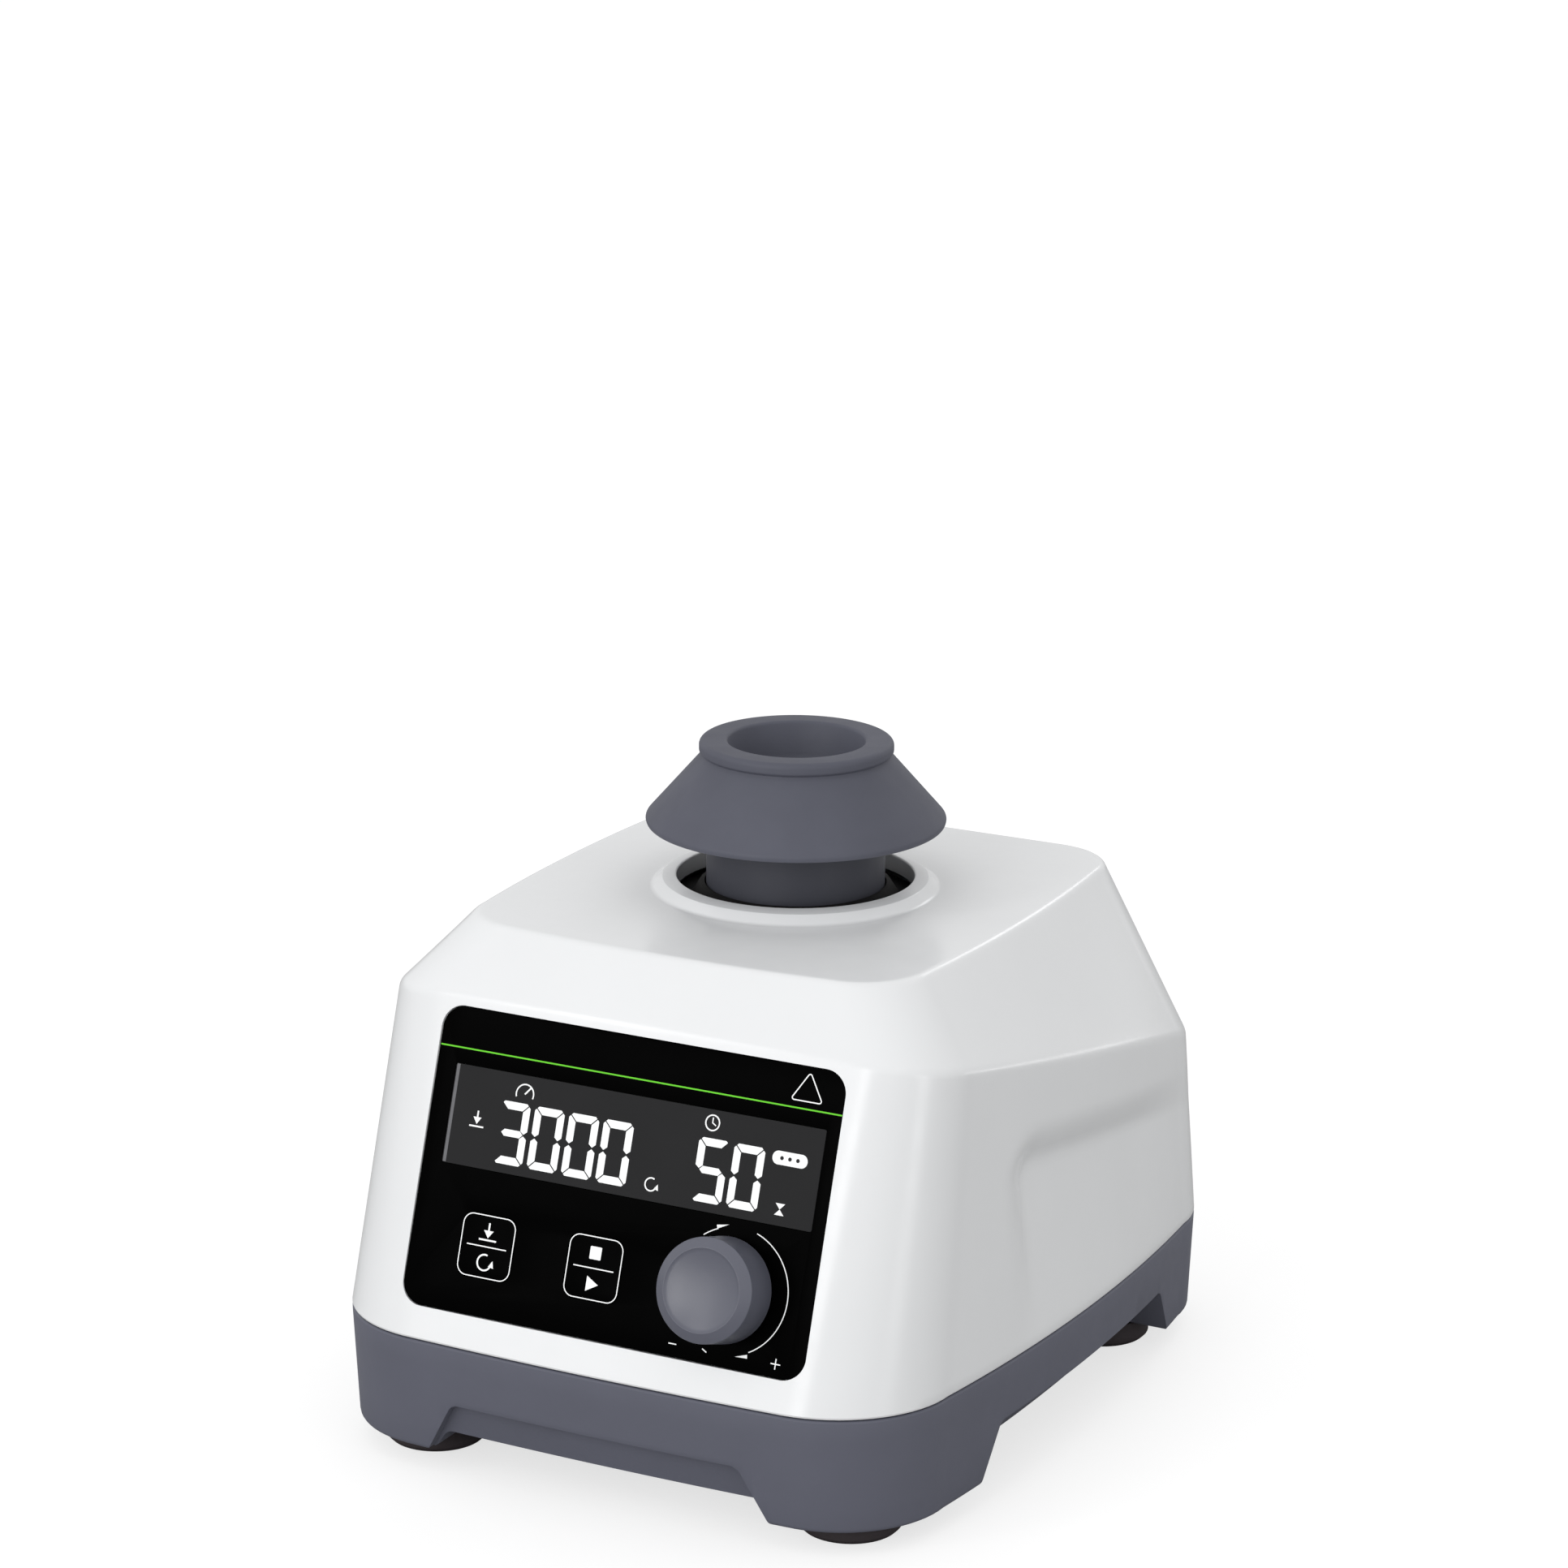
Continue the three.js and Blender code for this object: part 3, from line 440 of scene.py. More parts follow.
def circuit_board(name):
    """Green solder mask with faint tracks under it."""
    nodes = Nodes(name).set(Specular_IOR_Level=0.5)
    tracks = nodes.tree.nodes.new("ShaderNodeTexBrick")
    tracks.inputs["Scale"].default_value = 1 / (9 * MM)
    tracks.inputs["Mortar Size"].default_value = 0.03
    tracks.inputs["Color1"].default_value = (0.012, 0.11, 0.045, 1)
    tracks.inputs["Color2"].default_value = (0.016, 0.13, 0.055, 1)
    tracks.inputs["Mortar"].default_value = (0.03, 0.2, 0.09, 1)
    nodes.link(nodes.place, tracks.inputs["Vector"])
    nodes.link(tracks.outputs["Color"], nodes.shader.inputs["Base Color"])
    nodes.rough(nodes.noise(2), 0.3, 0.4)
    nodes.bump(tracks.outputs["Fac"], 0.03)
    return nodes.material


def printed(name, tone, glow=0.0):
    """Printing ink or a lit display segment, with a faint unevenness. A glow above 0 makes it emit light: on a lit
    segment that is the display's own light, on printed marks it is painted light.
    """
    nodes = Nodes(name).set(Specular_IOR_Level=0.2, Emission_Color=(*tone, 1), Emission_Strength=glow)
    nodes.tones(nodes.noise(0.6), shade(tone, 0.95), shade(tone, 1.02))
    nodes.rough(nodes.noise(0.4), 0.5, 0.6)
    return nodes.material


GREY = (0.105, 0.109, 0.14)
WHITE = (0.84, 0.85, 0.86)
FINISHES = {
    "white_shell": moulded("white_plastic", WHITE, 0.22, 2.5, 0.0015, spread=0.006, coat=0.12),
    "grey_base": moulded("grey_plastic", shade(GREY, 1.15), 0.5, 0.28, 0.012, specular=0.4),
    "grey_knob": moulded("knob_plastic", shade(GREY, 1.02), 0.34, 0.22, 0.008, specular=0.6),
    "grey_rubber": moulded("grey_rubber", shade(GREY, 0.88), 0.6, 0.3, 0.02, specular=0.35, spread=0.06),
    "black_rubber": moulded("black_rubber", (0.008, 0.0075, 0.0075), 0.75, 0.4, 0.02, specular=0.2),
    "foot_rubber": moulded("foot_rubber", (0.042, 0.034, 0.037), 0.7, 0.35, 0.03, specular=0.3),
    "black_panel": moulded("panel_film", (0.0008, 0.0008, 0.0008), 0.34, 0.5, 0.001, specular=0.01),
    "display_lens": moulded("display_film", (0.026, 0.026, 0.027), 0.34, 0.6, 0.001, specular=0.02),
    "black_plastic": moulded("black_plastic", (0.016, 0.016, 0.018), 0.45, 0.3, 0.012),
    "circuit_board": circuit_board("board"),
    "steel": brushed("steel", (0.56, 0.57, 0.59), 0.3),
    "motor_steel": brushed("plated_steel", (0.42, 0.43, 0.45), 0.36),
}
# A darker copy of the grey rubber for the neck: painted shade from the cup that overhangs it.
SHADED_NECK_RUBBER = moulded("neck_rubber_painted_shade", shade(GREY, 0.45), 0.55, 0.3, 0.015, specular=0.35)
# White print and display segments glow faintly: on the display it is the segments' own light, on the printed marks
# of the panel, keys and rocker the glow is painted light.
GLOWING_WHITE_INK = printed("glowing_white_ink", (0.85, 0.86, 0.86), glow=0.25)
# The green line is printed, and its faint glow is painted light.
GREEN_INK_PAINTED_GLOW = printed("green_ink_painted_glow", (0.14, 0.62, 0.03), glow=0.15)
STRIP_INK = printed("strip_ink", (0.16, 0.16, 0.17))
CORE_INK = printed("dark_ink", (0.02, 0.02, 0.022))


def dress(obj, material):
    obj.data.materials.clear()
    obj.data.materials.append(material)
    return obj


def place(obj, body, slot, *nodes, material=None, sharp=32):
    """Finishes a piece: its surface, the body it rides on and the CAD nodes that it stands for."""
    tidy(obj, sharp)
    dress(obj, material or FINISHES[slot])
    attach(obj, body)
    if nodes:
        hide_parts(*nodes)
    return obj


# ---- Housing ----
GRIP = dict(front=-31, top=64.3, drop=0.15, front_edge=9, top_edge=6.5, corner=10, depth=2.7, full_z=56)


def grip_depth(y, z):
    """How far the side wall is pressed in at a point: nothing at the seam, most under the top edge."""
    ahead = y - GRIP["front"]
    across = ahead * GRIP["top_edge"] / GRIP["front_edge"]
    below = GRIP["top"] - GRIP["drop"] * ahead - z
    radius = GRIP["corner"]
    corner = radius - np.hypot(np.maximum(radius - across, 0), np.maximum(radius - below, 0))
    inside = np.where((across < radius) & (below < radius), corner, np.minimum(across, below))
    share = np.clip(inside / GRIP["top_edge"], 0, 1)
    edge = np.minimum(share ** 1.5, 1 - 0.6 * (1 - share))
    seam = SEAM["z_front"]
    height = np.clip((z - seam) / (GRIP["full_z"] - seam), 0, 1.15)
    fade = np.clip((58 - y) / 36, 0, 1)
    return GRIP["depth"] * edge * height * fade * fade * (3 - 2 * fade)


def press_grips(ring):
    depth = grip_depth(ring[:, 1] - AXIS_Y, ring[:, 2])
    flank = np.clip((np.abs(ring[:, 0]) - 40) / 10, 0, 1)
    pressed = ring.copy()
    pressed[:, 0] -= np.sign(ring[:, 0]) * depth * flank
    return pressed


def housing_rings():
    seam = outline(SEAM)
    crease = outline(CREASE)
    plateau = outline(PLATEAU)
    collar_foot = circle_ring(plateau, COLLAR_FOOT_R, PLATEAU["z_front"])
    soft = 1.1
    edge = bend(seam, crease, plateau, soft)
    brow = bend(crease, plateau, collar_foot, soft)
    wall_steps = np.linspace(0, 1, 34)[1:-1]
    rings = [
        outline(SEAM, 0.4, 0.4, 0.4),
        outline(SEAM, 0.12, 0.12, 0.12, 0.08),
        outline(SEAM, 0, 0, 0, 0.4),
    ]
    rings += between(rings[-1], edge[0], wall_steps)
    rings += edge
    rings += between(edge[-1], brow[0], np.linspace(0, 1, 16)[1:-1])
    rings += brow
    rings += between(brow[-1], collar_foot, (0.02, 0.08, 0.25, 0.5, 0.75, 0.95))
    rings = [press_grips(ring) for ring in rings]
    collar = rounded(
        [(COLLAR_FOOT_R, 92.6), (25.6, 92.6), (23.75, 94.25), (HOLE_R, 94.75), (HOLE_R, HOLE_CEILING),
         (RELIEF_R, HOLE_CEILING), (RELIEF_R, 90.2)],
        (0, 1.4, 0.35, 0.3, 0.3, 0, 0), steps=5)
    rings += [circle_ring(plateau, radius, z) for radius, z in collar]
    rings += [
        outline(PLATEAU, 3.2, 3.2, 2.8, -2.4),
        outline(CREASE, 5.2, 4.2, 2.8, -1.6),
        outline(SEAM, 5.2, 4.2, 2.8, 0),
    ]
    return rings


def build_housing():
    housing = skin("housing_shell", housing_rings(), closed=True)
    rim = rectangle(PANEL_X, PANEL_MID, PANEL_W + 0.3, PANEL_H + 0.3, PANEL_RADIUS + 0.15, 12)
    pocket = prism("pocket", rim, -PANEL_THICK - 0.3, 8, PANEL)
    opening = prism("opening", rectangle(PANEL_X, PANEL_MID, PANEL_W - 7, PANEL_H - 7, 2), -14, -0.5, PANEL)
    slot = prism("slot", rectangle(ROCKER["x"], ROCKER["y"], 12.6, 19.6, 0.5), -9, 9, REAR)
    hole = prism("hole", circle(JACK["x"], JACK["y"], 4.3), -9, 9, REAR)
    combine(housing, [pocket, opening, slot, hole], "DIFFERENCE")
    place(housing, "housing", "white_shell", "upper_housing", sharp=28)


# ---- Base ----
def arch_outline(half, slope, top):
    """The opening between two legs: sloping ends, soft upper corners and legs with soft lower corners."""
    leg_z = BOTTOM["z_front"]
    foot_z = leg_z - 0.05
    high = half - slope * (top - leg_z) / LEG_DROP
    low = half + slope - (half + slope - high) * foot_z / top
    points = [(-low - 6, -2), (low + 6, -2), (low + 6, foot_z), (low, foot_z),
              (high, top), (-high, top), (-low, foot_z), (-low - 6, foot_z)]
    return rounded(points, (0, 0, 0, 1.4, 2.4, 2.4, 1.4, 0), steps=8, closed=True)


def run_through(name, points, along_x):
    """An opening's outline run right through the base, front to rear or side to side."""
    turn = Matrix.Rotation(math.pi / 2, 4, "X")
    if along_x:
        turn = Matrix.Rotation(math.pi / 2, 4, "Z") @ turn
    shift = Matrix.Translation(Vector((0, AXIS_Y * MM, 0)))
    return prism(name, points, -100, 100, shift @ turn)


def base_rings():
    """The base's outer wall, from its soft lower edge up to the seam."""
    low = outline(BOTTOM)
    high = outline(SEAM, lift=-SEAM_GAP)
    soft = bend(outline(BOTTOM, 3, 3, 3), low, high, 0.9, 4)
    return soft + between(soft[-1], high, (0.2, 0.5, 0.8, 0.985))


def build_base():
    lip = outline(SEAM, 0.35, 0.35, 0.35, -SEAM_GAP)
    inner = outline(SEAM, 2.8, 3, 2.8, -SEAM_GAP)
    floor_edge = outline(BOTTOM, 7, 7, 7)
    floor_edge[:, 2] = 11.4
    base = skin("base_shell", base_rings() + [lip, inner, floor_edge], first_cap=True, last_cap=True)
    arches = [run_through("arch", arch_outline(*ARCH_FRONT, ARCH_TOP), False),
              run_through("arch", arch_outline(*ARCH_SIDE, ARCH_TOP), True)]
    core_low = outline(BOTTOM, SIDE_ARCH["low"], ARCH_DEPTH, ARCH_DEPTH)
    core_low[:, 2] = SIDE_ARCH["low_z"]
    core_high = outline(SEAM, SIDE_ARCH["high"], ARCH_DEPTH, ARCH_DEPTH)
    core_high[:, 2] = SIDE_ARCH["high_z"]
    for arch in arches:
        core = skin("core", [core_low, core_high], first_cap=True, last_cap=True)
        combine(arch, [core], "DIFFERENCE")
    channels = [run_through("channel", arch_outline(*ARCH_FRONT, BELLY), False),
                run_through("channel", arch_outline(*ARCH_SIDE, BELLY), True)]
    holes = []
    for node in [n for n in frame["nodes"] if n.startswith("housing_screw")]:
        centre = middle(node)
        holes.append(prism("hole", circle(centre.x, centre.y, 3.5), 0, 11.8))
    combine(base, arches + channels + holes, "DIFFERENCE")
    bevel(base, 0.45, 2, 35)
    place(base, "housing", "grey_base", "base_skirt", sharp=30)


def build_feet():
    for node in [n for n in frame["nodes"] if n.startswith("foot_")]:
        centre = middle(node)
        profile = rounded(
            [(0, 1.2), (5.2, 0), (8.2, 0), (9, 0.8), (9, 1.6), (8.1, 3.9), (3.2, 3.9), (3.2, 9.2), (0, 9.2)],
            (0, 0.3, 0.4, 0.5, 0.5, 0.2, 0, 0.3, 0), steps=4)
        pad = lathe("rubber_" + node, profile, 72, (centre.x, centre.y, 0))
        place(pad, "housing", "foot_rubber", node)


# ---- Head ----
def build_head():
    centre = (HEAD[0], HEAD[1], 0)
    cup_profile = rounded(
        [(0, 110), (4, 110), (7.6, 111), (10.6, 113.4), (12.3, 120), (17.25, 120), (17.25, 117.9),
         (16.55, 117.55), (26.75, 105.85), (26.45, 104.9), (17, 104.9), (16.6, 105.4), (8.3, 105.4),
         (8.3, 108.5), (0, 108.5)],
        (0, 0.5, 2, 3, 0.7, 1.0, 0.8, 0.3, 0.75, 0.4, 0.2, 0.2, 0, 0, 0), steps=7)
    place(lathe("cup_moulding", cup_profile, 144, centre), "head", "grey_rubber", "rubber_cup")
    neck_profile = rounded(
        [(0, 86.2), (5.4, 86.2), (5.4, 84), (11.3, 84), (11.3, 75.8), (15.9, 75.8), (15.9, 105.1), (8, 105.1),
         (8, 108.2), (0, 108.2)],
        (0, 0, 0, 0, 0.3, 0.6, 0.4, 0, 0.3, 0), steps=4)
    neck = lathe("neck_moulding", neck_profile, 120, centre)
    # The neck takes the darker copy of the grey rubber, painted shade under the cup.
    place(neck, "head", "grey_rubber", "head_adapter", material=SHADED_NECK_RUBBER)
    skirt_profile = rounded(
        [(16.2, 91.3), (17.4, 91), (18.4, 89.6), (23.4, 89.3), (23.4, 90.3), (19, 90.7), (17, 93.8),
         (16.2, 94)],
        (0, 0.3, 0.5, 0.3, 0.3, 1.2, 0.3, 0), steps=4)
    place(lathe("skirt_moulding", skirt_profile, 120, centre), "head", "black_rubber", "splash_skirt")


# ---- Control panel ----
def build_panel():
    sheet = rectangle(PANEL_X, PANEL_MID, PANEL_W, PANEL_H, PANEL_RADIUS, 14)
    film = prism("panel_film", sheet, -PANEL_THICK, 0, PANEL)
    window = rectangle(WINDOW["x"], WINDOW["y"], WINDOW["w"] - 0.2, WINDOW["h"] - 0.2, 0.4, 4)
    cuts = [prism("cut", window, -3, 1, PANEL)]
    for x, y in KEYS.values():
        cuts.append(prism("cut", rectangle(x, y, KEY_W + 0.36, KEY_H + 0.36, 2.15), -3, 1, PANEL))
    cuts.append(prism("cut", circle(KNOB["x"], KNOB["y"], 4), -3, 1, PANEL))
    combine(film, cuts, "DIFFERENCE")
    bevel(film, 0.08, 2, 40)
    place(film, "housing", "black_panel", "panel_overlay")
    glass = rectangle(WINDOW["x"], WINDOW["y"], WINDOW["w"] - 0.4, WINDOW["h"] - 0.4, 0.35, 4)
    lens = prism("display_window", glass, -1.3, -0.05, PANEL)
    bevel(lens, 0.05, 1)
    place(lens, "housing", "display_lens", "display_lens")
    for name, (x, y) in KEYS.items():
        cap = prism(name + "_cap", rectangle(x, y, KEY_W, KEY_H, 2, 10), -2.4, 0.1, PANEL)
        lip = prism("lip", rectangle(x, y, KEY_W + 2, KEY_H + 2, 2.6), -2.8, -1.9, PANEL)
        stem = prism("stem", circle(x, y, 1.7, 32), -5, -2, PANEL)
        combine(cap, [lip, stem], "UNION")
        bevel(cap, 0.12, 2)
        place(cap, name, "black_panel", name)


def build_knob():
    profile = rounded(
        [(0, 6.6), (2.7, 6.6), (2.7, 3.2), (6.8, 3.2), (6.8, 0.8), (9.05, 0.8), (8.9, 8.15), (7.1, 9.2),
         (6.9, 9.05)],
        (0, 0, 0, 0, 0.2, 0.3, 0.2, 0.12, 0), steps=6)
    profile += [(6.9 * share, 8.05 + share ** 2) for share in np.linspace(1, 0, 14)[1:]]
    knob = lathe("knob_moulding", profile, 128, matrix=local(PANEL, KNOB["x"], KNOB["y"]))
    place(knob, "knob", "grey_knob", "control_knob")


# ---- Printed marks and display segments: thin raised outlines in the panel's frame ----
class Marks:
    """Flat shapes gathered into one thin mesh."""

    def __init__(self):
        self.vertices = []
        self.faces = []

    def fill(self, points):
        start = len(self.vertices)
        self.vertices += [tuple(point) for point in points]
        self.faces.append(tuple(range(start, start + len(points))))

    def stroke(self, points, width, closed=False):
        """A line of even width along the points."""
        path = np.asarray(points, float)
        last = np.roll(path, 1, axis=0)
        after = np.roll(path, -1, axis=0)
        if not closed:
            last[0] = path[0]
            after[-1] = path[-1]
        tangent = after - last
        tangent /= np.linalg.norm(tangent, axis=1)[:, None]
        side = np.stack([-tangent[:, 1], tangent[:, 0]], axis=1) * width / 2
        start = len(self.vertices)
        for point, offset in zip(path, side):
            self.vertices += [tuple(point + offset), tuple(point - offset)]
        count = len(path)
        for i in range(count if closed else count - 1):
            j = (i + 1) % count
            self.faces.append((start + 2 * i, start + 2 * i + 1, start + 2 * j + 1, start + 2 * j))

    def build(self, name, matrix, low, thickness, material, body, slot):
        """Every shape becomes a thin closed plate whose top is thickness above low."""
        flat = new_object(name, [(x, y, low) for x, y in self.vertices], self.faces)
        edit = bmesh.new()
        edit.from_mesh(flat.data)
        bmesh.ops.remove_doubles(edit, verts=edit.verts, dist=1e-8)
        bmesh.ops.recalc_face_normals(edit, faces=edit.faces)
        raised = bmesh.ops.extrude_face_region(edit, geom=edit.faces[:], use_keep_orig=True)
        lifted = [item for item in raised["geom"] if isinstance(item, bmesh.types.BMVert)]
        bmesh.ops.translate(edit, verts=lifted, vec=(0, 0, thickness * MM))
        edit.to_mesh(flat.data)
        edit.free()
        flat.data.transform(matrix)
        place(flat, body, slot, material=material)
        return flat


def arc(x, y, radius, start, end, steps=24):
    angles = np.radians(np.linspace(start, end, steps + 1))
    return [(x + radius * math.cos(a), y + radius * math.sin(a)) for a in angles]


SEGMENT_W = 5.85
SEGMENT_H = 10.8
SEGMENT_T = 1.35
SEGMENT_GAP = 0.2
PITCH = 6.75
LIT = {"0": "abcdef", "3": "abcdg", "5": "acdfg"}


def segment_shapes():
    """The seven bars of a digit: a to f clockwise from the top, and g across the middle."""
    w, h, t, trim = SEGMENT_W, SEGMENT_H, SEGMENT_T, SEGMENT_T * 0.55
    e = SEGMENT_GAP / (2 * math.sqrt(2))
    mid = h / 2
    top = [(trim, h), (w - trim, h), (w - trim / 2 - e, h - trim / 2 + e), (w - t - 2 * e, h - t),
           (t + 2 * e, h - t), (trim / 2 + e, h - trim / 2 + e)]
    upper_left = [(0, h - trim), (0, mid + t / 2), (t / 2, mid + 2 * e), (t, mid + t / 2),
                  (t, h - t - 2 * e), (trim / 2 - e, h - trim / 2 - e)]
    bar = [(t / 2 + 2 * e, mid), (t + e, mid + t / 2 - e), (w - t - e, mid + t / 2 - e),
           (w - t / 2 - 2 * e, mid), (w - t - e, mid - t / 2 + e), (t + e, mid - t / 2 + e)]

    def across(shape):
        return [(w - x, y) for x, y in shape]

    def down(shape):
        return [(x, h - y) for x, y in shape]

    return {"a": top, "b": across(upper_left), "c": down(across(upper_left)), "d": down(top),
            "e": down(upper_left), "f": upper_left, "g": bar}


def digits(marks, text, x, y):
    shapes = segment_shapes()
    for position, digit in enumerate(text):
        for bar in LIT[digit]:
            marks.fill([(x + position * PITCH + px, y + py) for px, py in shapes[bar]])


def arrow_head(marks, tip, direction, length=2.3, width=0.65):
    """A slim triangle with its point at tip."""
    ahead = np.array([math.cos(math.radians(direction)), math.sin(math.radians(direction))])
    side = np.array([-ahead[1], ahead[0]]) * width / 2
    back = np.asarray(tip) - ahead * length
    marks.fill([tuple(tip), tuple(back + side), tuple(back - side)])


def build_display_marks():
    lit = Marks()
    digits(lit, "3000", -24.9, 32.7)
    digits(lit, "50", 13.8, 32.7)
    lit.fill(rectangle(31.1, 42.4, 6.6, 2.3, 1.14))
    # a gauge for the speed, a clock for the time, an arrow pressing down, a turning arrow and an hourglass
    lit.stroke(arc(-20.6, 45.1, 1.7, 200, -20), 0.24)
    lit.stroke([(-20.6, 45.1), (-19.6, 46.3)], 0.28)
    lit.stroke(arc(15.8, 46.1, 1.3, 0, 345), 0.24, closed=True)
    lit.stroke([(15.8, 47.0), (15.8, 46.1), (16.5, 45.7)], 0.22)
    lit.stroke([(-29.1, 40.9), (-29.1, 39.6)], 0.3)
    lit.fill([(-29.1, 38.6), (-28.3, 39.8), (-29.9, 39.8)])
    lit.stroke([(-30.5, 38.2), (-27.7, 38.2)], 0.28)
    lit.stroke(arc(6.0, 34.0, 1.1, 60, 340), 0.24)
    arrow_head(lit, (7.35, 34.2), 75, 1.0, 0.9)
    lit.fill([(29.7, 34.9), (31.5, 34.9), (30.6, 33.9)])
    lit.fill([(29.7, 32.9), (30.6, 33.9), (31.5, 32.9)])
    lit.build("display_segments", PANEL, -0.05, 0.03, GLOWING_WHITE_INK, "housing", "display_lens")
    pill_dots = Marks()
    for x in (29.6, 31.1, 32.6):
        pill_dots.fill(circle(x, 42.4, 0.34, 20))
    pill_dots.build("display_dots", PANEL, -0.02, 0.02, CORE_INK, "housing", "display_lens")
    strip = Marks()
    strip.fill([(-34.6, 31.3), (-34.0, 31.3), (-34.0, 48.3), (-34.6, 48.3)])
    strip.build("display_edge", PANEL, -0.05, 0.02, STRIP_INK, "housing", "display_lens")


def build_panel_marks():
    line = Marks()
    left, right = PANEL_X - PANEL_W / 2 + 0.1, PANEL_X + PANEL_W / 2 - 0.1
    line.fill([(left, 51.0), (right, 51.0), (right, 51.26), (left, 51.26)])
    # The printed green line glows faintly: painted light.
    line.build("panel_line", PANEL, 0, 0.02, GREEN_INK_PAINTED_GLOW, "housing", "black_panel")
    white = Marks()
    triangle = rounded([(29.5, 52.4), (35.5, 52.4), (32.5, 57.3)], [0.35] * 3, 4, closed=True)
    white.stroke(triangle, 0.2, closed=True)
    x, y, radius = 23.9, 19, 10.75
    white.stroke(arc(x, y, radius, 72, -62, 60), 0.18)
    arrow_head(white, arc(x, y, radius + 0.2, -76, -76, 1)[0], 190)
    white.stroke(arc(x, y, radius - 0.1, 128, 112, 10), 0.18)
    arrow_head(white, arc(x, y, radius + 0.3, 101, 101, 1)[0], 18)
    white.stroke([(13.9, 8.4), (15.4, 8.4)], 0.2)
    white.stroke([(33.3, 8.5), (35.1, 8.5)], 0.2)
    white.stroke([(34.2, 7.6), (34.2, 9.4)], 0.2)
    white.stroke([(20.3, 8.6), (21.2, 8.1)], 0.2)
    # The white print glows faintly: painted light.
    white.build("panel_marks", PANEL, 0, 0.02, GLOWING_WHITE_INK, "housing", "black_panel")


def build_key_marks():
    """An outline and a dividing line on each key, with signs for press, repeat, stop and run."""
    for name, (x, y) in KEYS.items():
        marks = Marks()
        marks.stroke(rectangle(x, y, KEY_W - 0.35, KEY_H - 0.35, 1.85, 10), 0.18, closed=True)
        marks.stroke([(x - 3.9, y), (x + 3.9, y)], 0.2)
        if name == "mode_key":
            marks.stroke([(x, y + 4.1), (x, y + 2.6)], 0.32)
            marks.fill([(x, y + 1.5), (x + 0.95, y + 2.8), (x - 0.95, y + 2.8)])
            marks.stroke([(x - 1.7, y + 1.15), (x + 1.7, y + 1.15)], 0.3)
            marks.stroke(arc(x, y - 2.7, 1.35, 70, 350), 0.3)
            arrow_head(marks, (x + 1.6, y - 2.2), 80, 1.2, 1.05)
        else:
            marks.fill(rectangle(x, y + 2.6, 2.2, 2.2, 0.15, 2))
            marks.fill([(x - 0.95, y - 1.4), (x - 0.95, y - 4.0), (x + 1.35, y - 2.7)])
        # The white print on the key glows faintly: painted light.
        marks.build(name + "_print", PANEL, 0.1, 0.02, GLOWING_WHITE_INK, name, "black_panel")


# ---- Rear wall ----
def build_rear():
    bezel = prism("switch_bezel", rectangle(ROCKER["x"], ROCKER["y"], 15.4, 22.4, 1.5, 8), 0.3, 1.6, REAR)
    shell = prism("shell", rectangle(ROCKER["x"], ROCKER["y"], 12, 19, 0.6), -12, 1, REAR)
    opening = prism("opening", rectangle(ROCKER["x"], ROCKER["y"], 9.6, 16.6, 0.6), -9, 4, REAR)
    combine(bezel, [shell], "UNION")
    combine(bezel, [opening], "DIFFERENCE")
    bevel(bezel, 0.3, 3)
    place(bezel, "housing", "black_plastic", "rocker_frame")
    build_rocker()
    profile = rounded(
        [(0, -13), (4, -13), (4, 0.3), (5.8, 0.3), (5.8, 1.9), (2.8, 1.9), (2.8, -11), (0.9, -11),
         (0.9, -1), (0, -0.8)],
        (0, 0.3, 0, 0.1, 0.5, 0.3, 0, 0, 0.3, 0), steps=4)
    jack = lathe("jack_moulding", profile, 64, matrix=local(REAR, JACK["x"], JACK["y"]))
    place(jack, "housing", "black_plastic", "power_jack")


def build_rocker():
    """The rocker's dished section, tipped to its on side, with the signs for on and off."""
    radius, high, low = 7.9, 15, -28
    left = arc(0, 0, radius, 180 - high, 180 - low, 10)
    right = arc(0, 0, radius, low, high, 10)
    section = left + [(0, -5.4)] + right + [(0, 0.9)]
    tip = Matrix.Rotation(math.radians(-8), 4, "X")
    upright = Matrix(((0, 0, 1, 0), (1, 0, 0, 0), (0, 1, 0, 0), (0, 0, 0, 1)))
    pose = local(REAR, ROCKER["x"], ROCKER["y"], ROCKER["z"]) @ tip
    rocker = prism("rocker_moulding", section, -4.5, 4.5, pose @ upright)
    bevel(rocker, 0.35, 3, 30)
    place(rocker, "rocker", "black_plastic", "power_rocker")
    slope = math.atan2(radius * math.sin(math.radians(high)) - 0.9, radius * math.cos(math.radians(high)))
    for name, side in (("rocker_on_sign", -1), ("rocker_off_sign", 1)):
        marks = Marks()
        if side < 0:
            marks.stroke([(0, -1.2), (0, 1.2)], 0.4)
        else:
            marks.stroke(arc(0, 0, 1.05, 0, 350, 28), 0.35, closed=True)
        place_at = Vector((0, side * SIGN_OUT, 0.9 + SIGN_OUT * math.tan(slope)))
        face = pose @ Matrix.Translation(place_at * MM) @ Matrix.Rotation(side * slope, 4, "X")
        # The white sign glows faintly: painted light.
        marks.build(name, face, 0.0, 0.03, GLOWING_WHITE_INK, "rocker", "black_plastic")


# ---- CAD pieces that keep their shape ----
def dress_frame():
    slots = {part["node"]: part["material_slot"] for part in frame["record"]["subparts"]}
    for name, obj in frame["nodes"].items():
        if not obj.hide_render:
            dress(obj, FINISHES[slots[name]])


# ---- Stage, light and camera ----
CAMERA_PLACE = (0.3959, -0.7571, 0.3516)
CAMERA_YAW = 27.59
CAMERA_PITCH = 15.64
CAMERA_ROLL = 0.4
CAMERA_LENS = 115.5


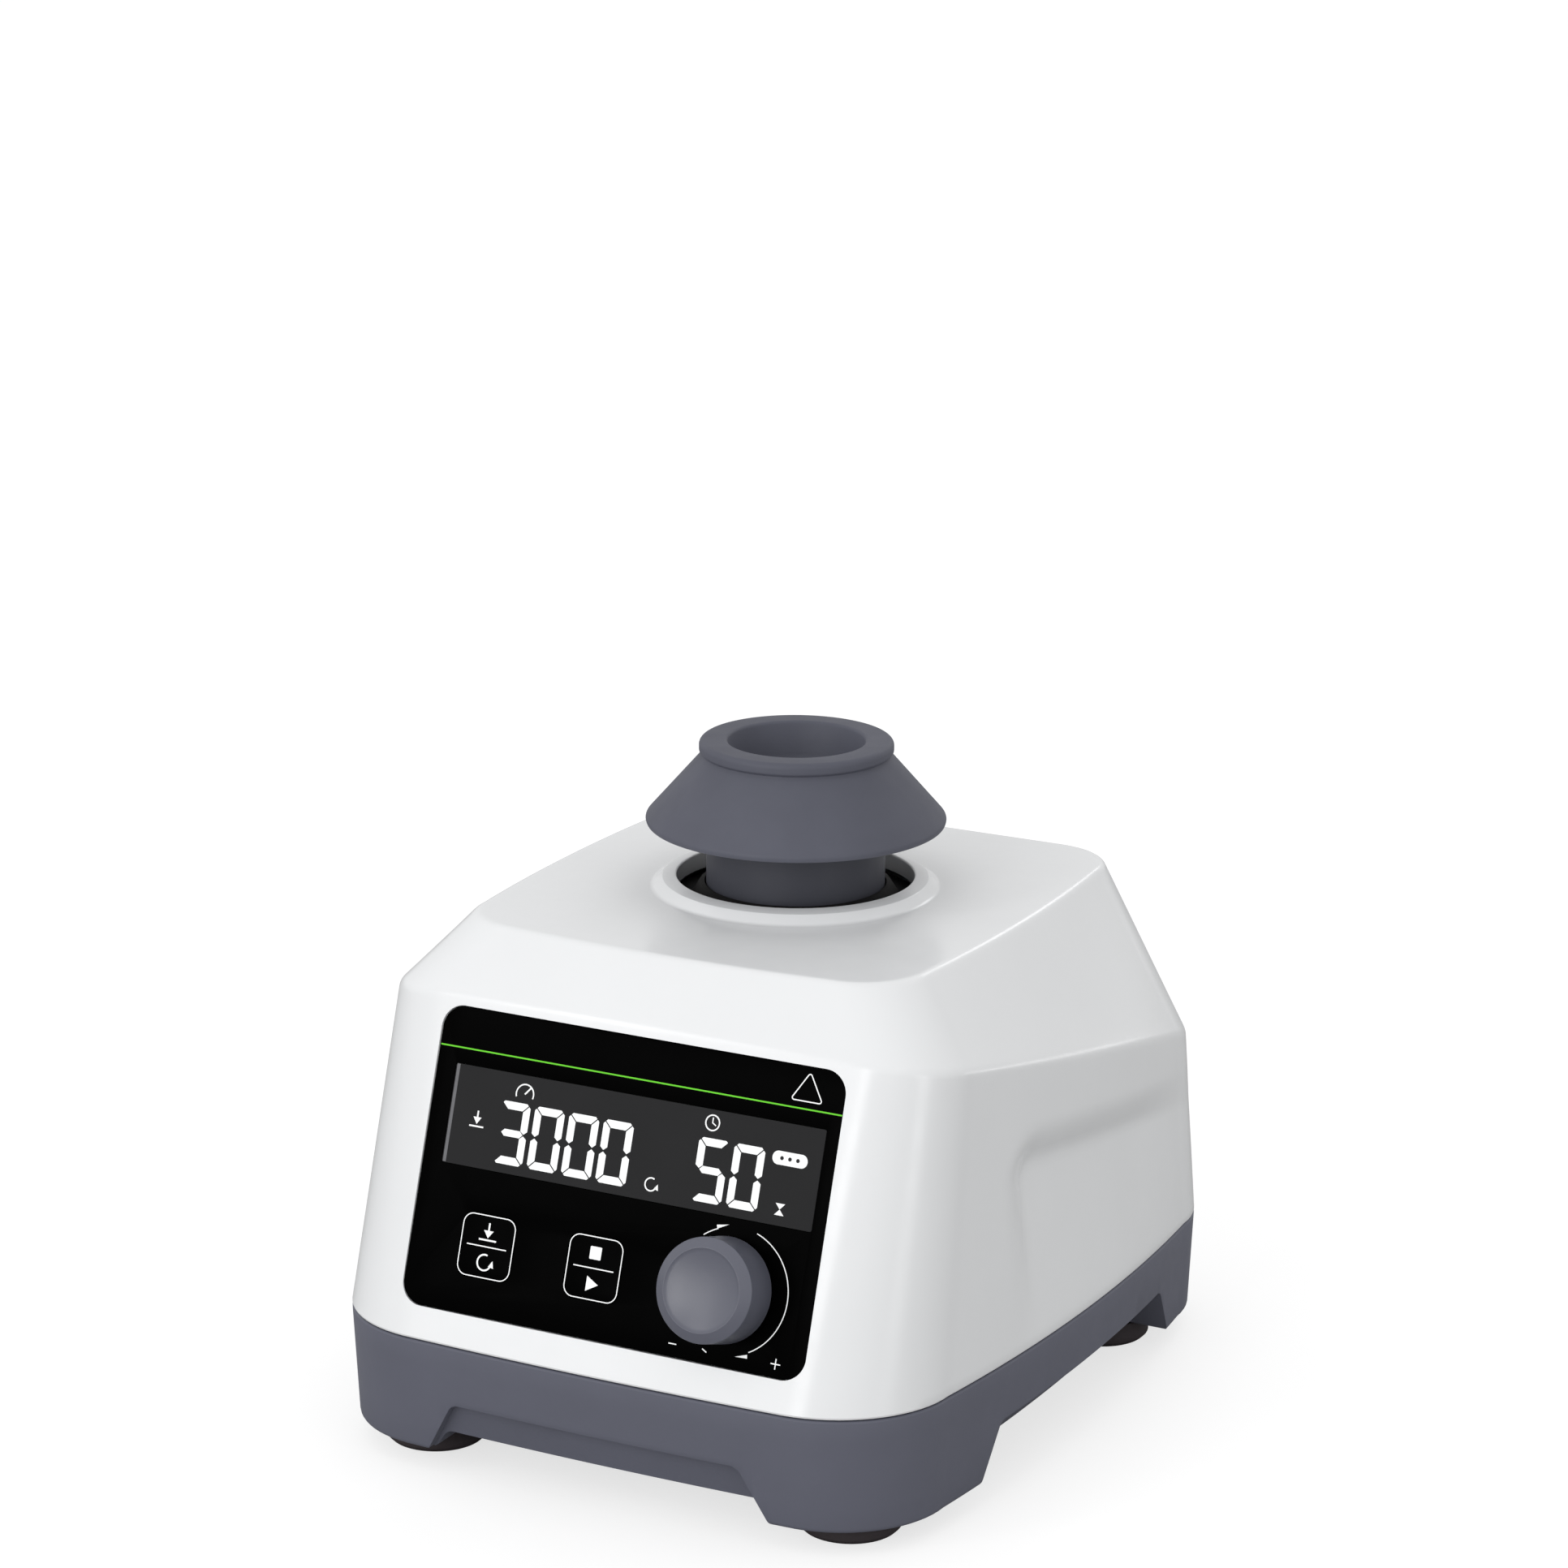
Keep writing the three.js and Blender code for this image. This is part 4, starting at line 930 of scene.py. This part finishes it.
def build_camera():
    yaw, pitch, roll = (math.radians(a) for a in (CAMERA_YAW, CAMERA_PITCH, CAMERA_ROLL))
    forward = Vector((-math.sin(yaw) * math.cos(pitch), math.cos(yaw) * math.cos(pitch), -math.sin(pitch)))
    right = Vector((math.cos(yaw), math.sin(yaw), 0))
    up = right.cross(forward)
    turned_right = right * math.cos(roll) + up * math.sin(roll)
    turned_up = turned_right.cross(forward)
    data = bpy.data.cameras.new("camera")
    data.lens = CAMERA_LENS
    data.sensor_width = 36
    data.clip_start = 0.05
    data.clip_end = 20
    camera = bpy.data.objects.new("camera", data)
    camera.matrix_world = wall_matrix(turned_right, turned_up, -forward, Vector(CAMERA_PLACE))
    bpy.context.scene.collection.objects.link(camera)
    bpy.context.scene.camera = camera


def build_floor():
    nodes = Nodes("floor_paper").set(Specular_IOR_Level=0.1, Emission_Color=(1, 1, 1, 1))
    nodes.tones(nodes.noise(60), (0.37, 0.37, 0.37), (0.39, 0.39, 0.39))
    nodes.rough(nodes.noise(30), 0.85, 0.9)
    seen = nodes.tree.nodes.new("ShaderNodeLightPath")
    glow = nodes.span(seen.outputs["Is Camera Ray"], 0, 0.7, 0, 1)
    nodes.link(glow, nodes.shader.inputs["Emission Strength"])
    reach = 4000
    corners = [(-reach, -reach, 0), (reach, -reach, 0), (reach, reach, 0), (-reach, reach, 0)]
    floor = new_object("floor", corners, [(0, 1, 2, 3)])
    dress(floor, nodes.material)


def area_light(name, place_at, target, size, power):
    data = bpy.data.lights.new(name, "AREA")
    data.shape = "RECTANGLE"
    data.size, data.size_y = size
    data.energy = power
    light = bpy.data.objects.new(name, data)
    light.location = place_at
    aim = Vector(target) - Vector(place_at)
    light.rotation_euler = aim.to_track_quat("-Z", "Y").to_euler()
    bpy.context.scene.collection.objects.link(light)


def build_light():
    world = bpy.data.worlds.new("studio")
    world.use_nodes = True
    tree = world.node_tree
    soft = tree.nodes["Background"]
    soft.inputs["Color"].default_value = (1, 1, 1, 1)
    soft.inputs["Strength"].default_value = 0.79
    seen = tree.nodes.new("ShaderNodeBackground")
    seen.inputs["Strength"].default_value = 1.0
    seen.inputs["Color"].default_value = (1, 1, 1, 1)
    path = tree.nodes.new("ShaderNodeLightPath")
    mix = tree.nodes.new("ShaderNodeMixShader")
    tree.links.new(path.outputs["Is Camera Ray"], mix.inputs["Fac"])
    tree.links.new(soft.outputs["Background"], mix.inputs[1])
    tree.links.new(seen.outputs["Background"], mix.inputs[2])
    tree.links.new(mix.outputs["Shader"], tree.nodes["World Output"].inputs["Surface"])
    bpy.context.scene.world = world
    area_light("key", (-0.45, -1.1, 0.38), (0, 0, 0.05), (0.6, 0.6), 1.9)
    area_light("corner_box", (-0.03, -1.2, 0.35), (0.03, -0.04, 0.05), (0.25, 0.9), 2.9)
    area_light("side_box", (1.17, -0.37, 0.2), (0.03, -0.04, 0.05), (0.28, 0.7), 1.3)
    area_light("front_edge_light", (-0.57, -0.86, 0.75), (0, 0, 0.08), (0.2, 0.2), 0.8)
    area_light("top_edge_light", (0.03, 1.0, 0.66), (0, 0, 0.08), (0.3, 0.25), 0.6)
    area_light("side_edge_light", (0.66, 1.1, 0.04), (0, 0, 0.06), (0.5, 0.06), 0.3)
    bpy.context.scene.view_settings.view_transform = "Standard"


build_camera()
build_housing()
build_base()
build_feet()
build_head()
build_panel()
build_knob()
build_display_marks()
build_panel_marks()
build_key_marks()
build_rear()
dress_frame()
build_floor()
build_light()
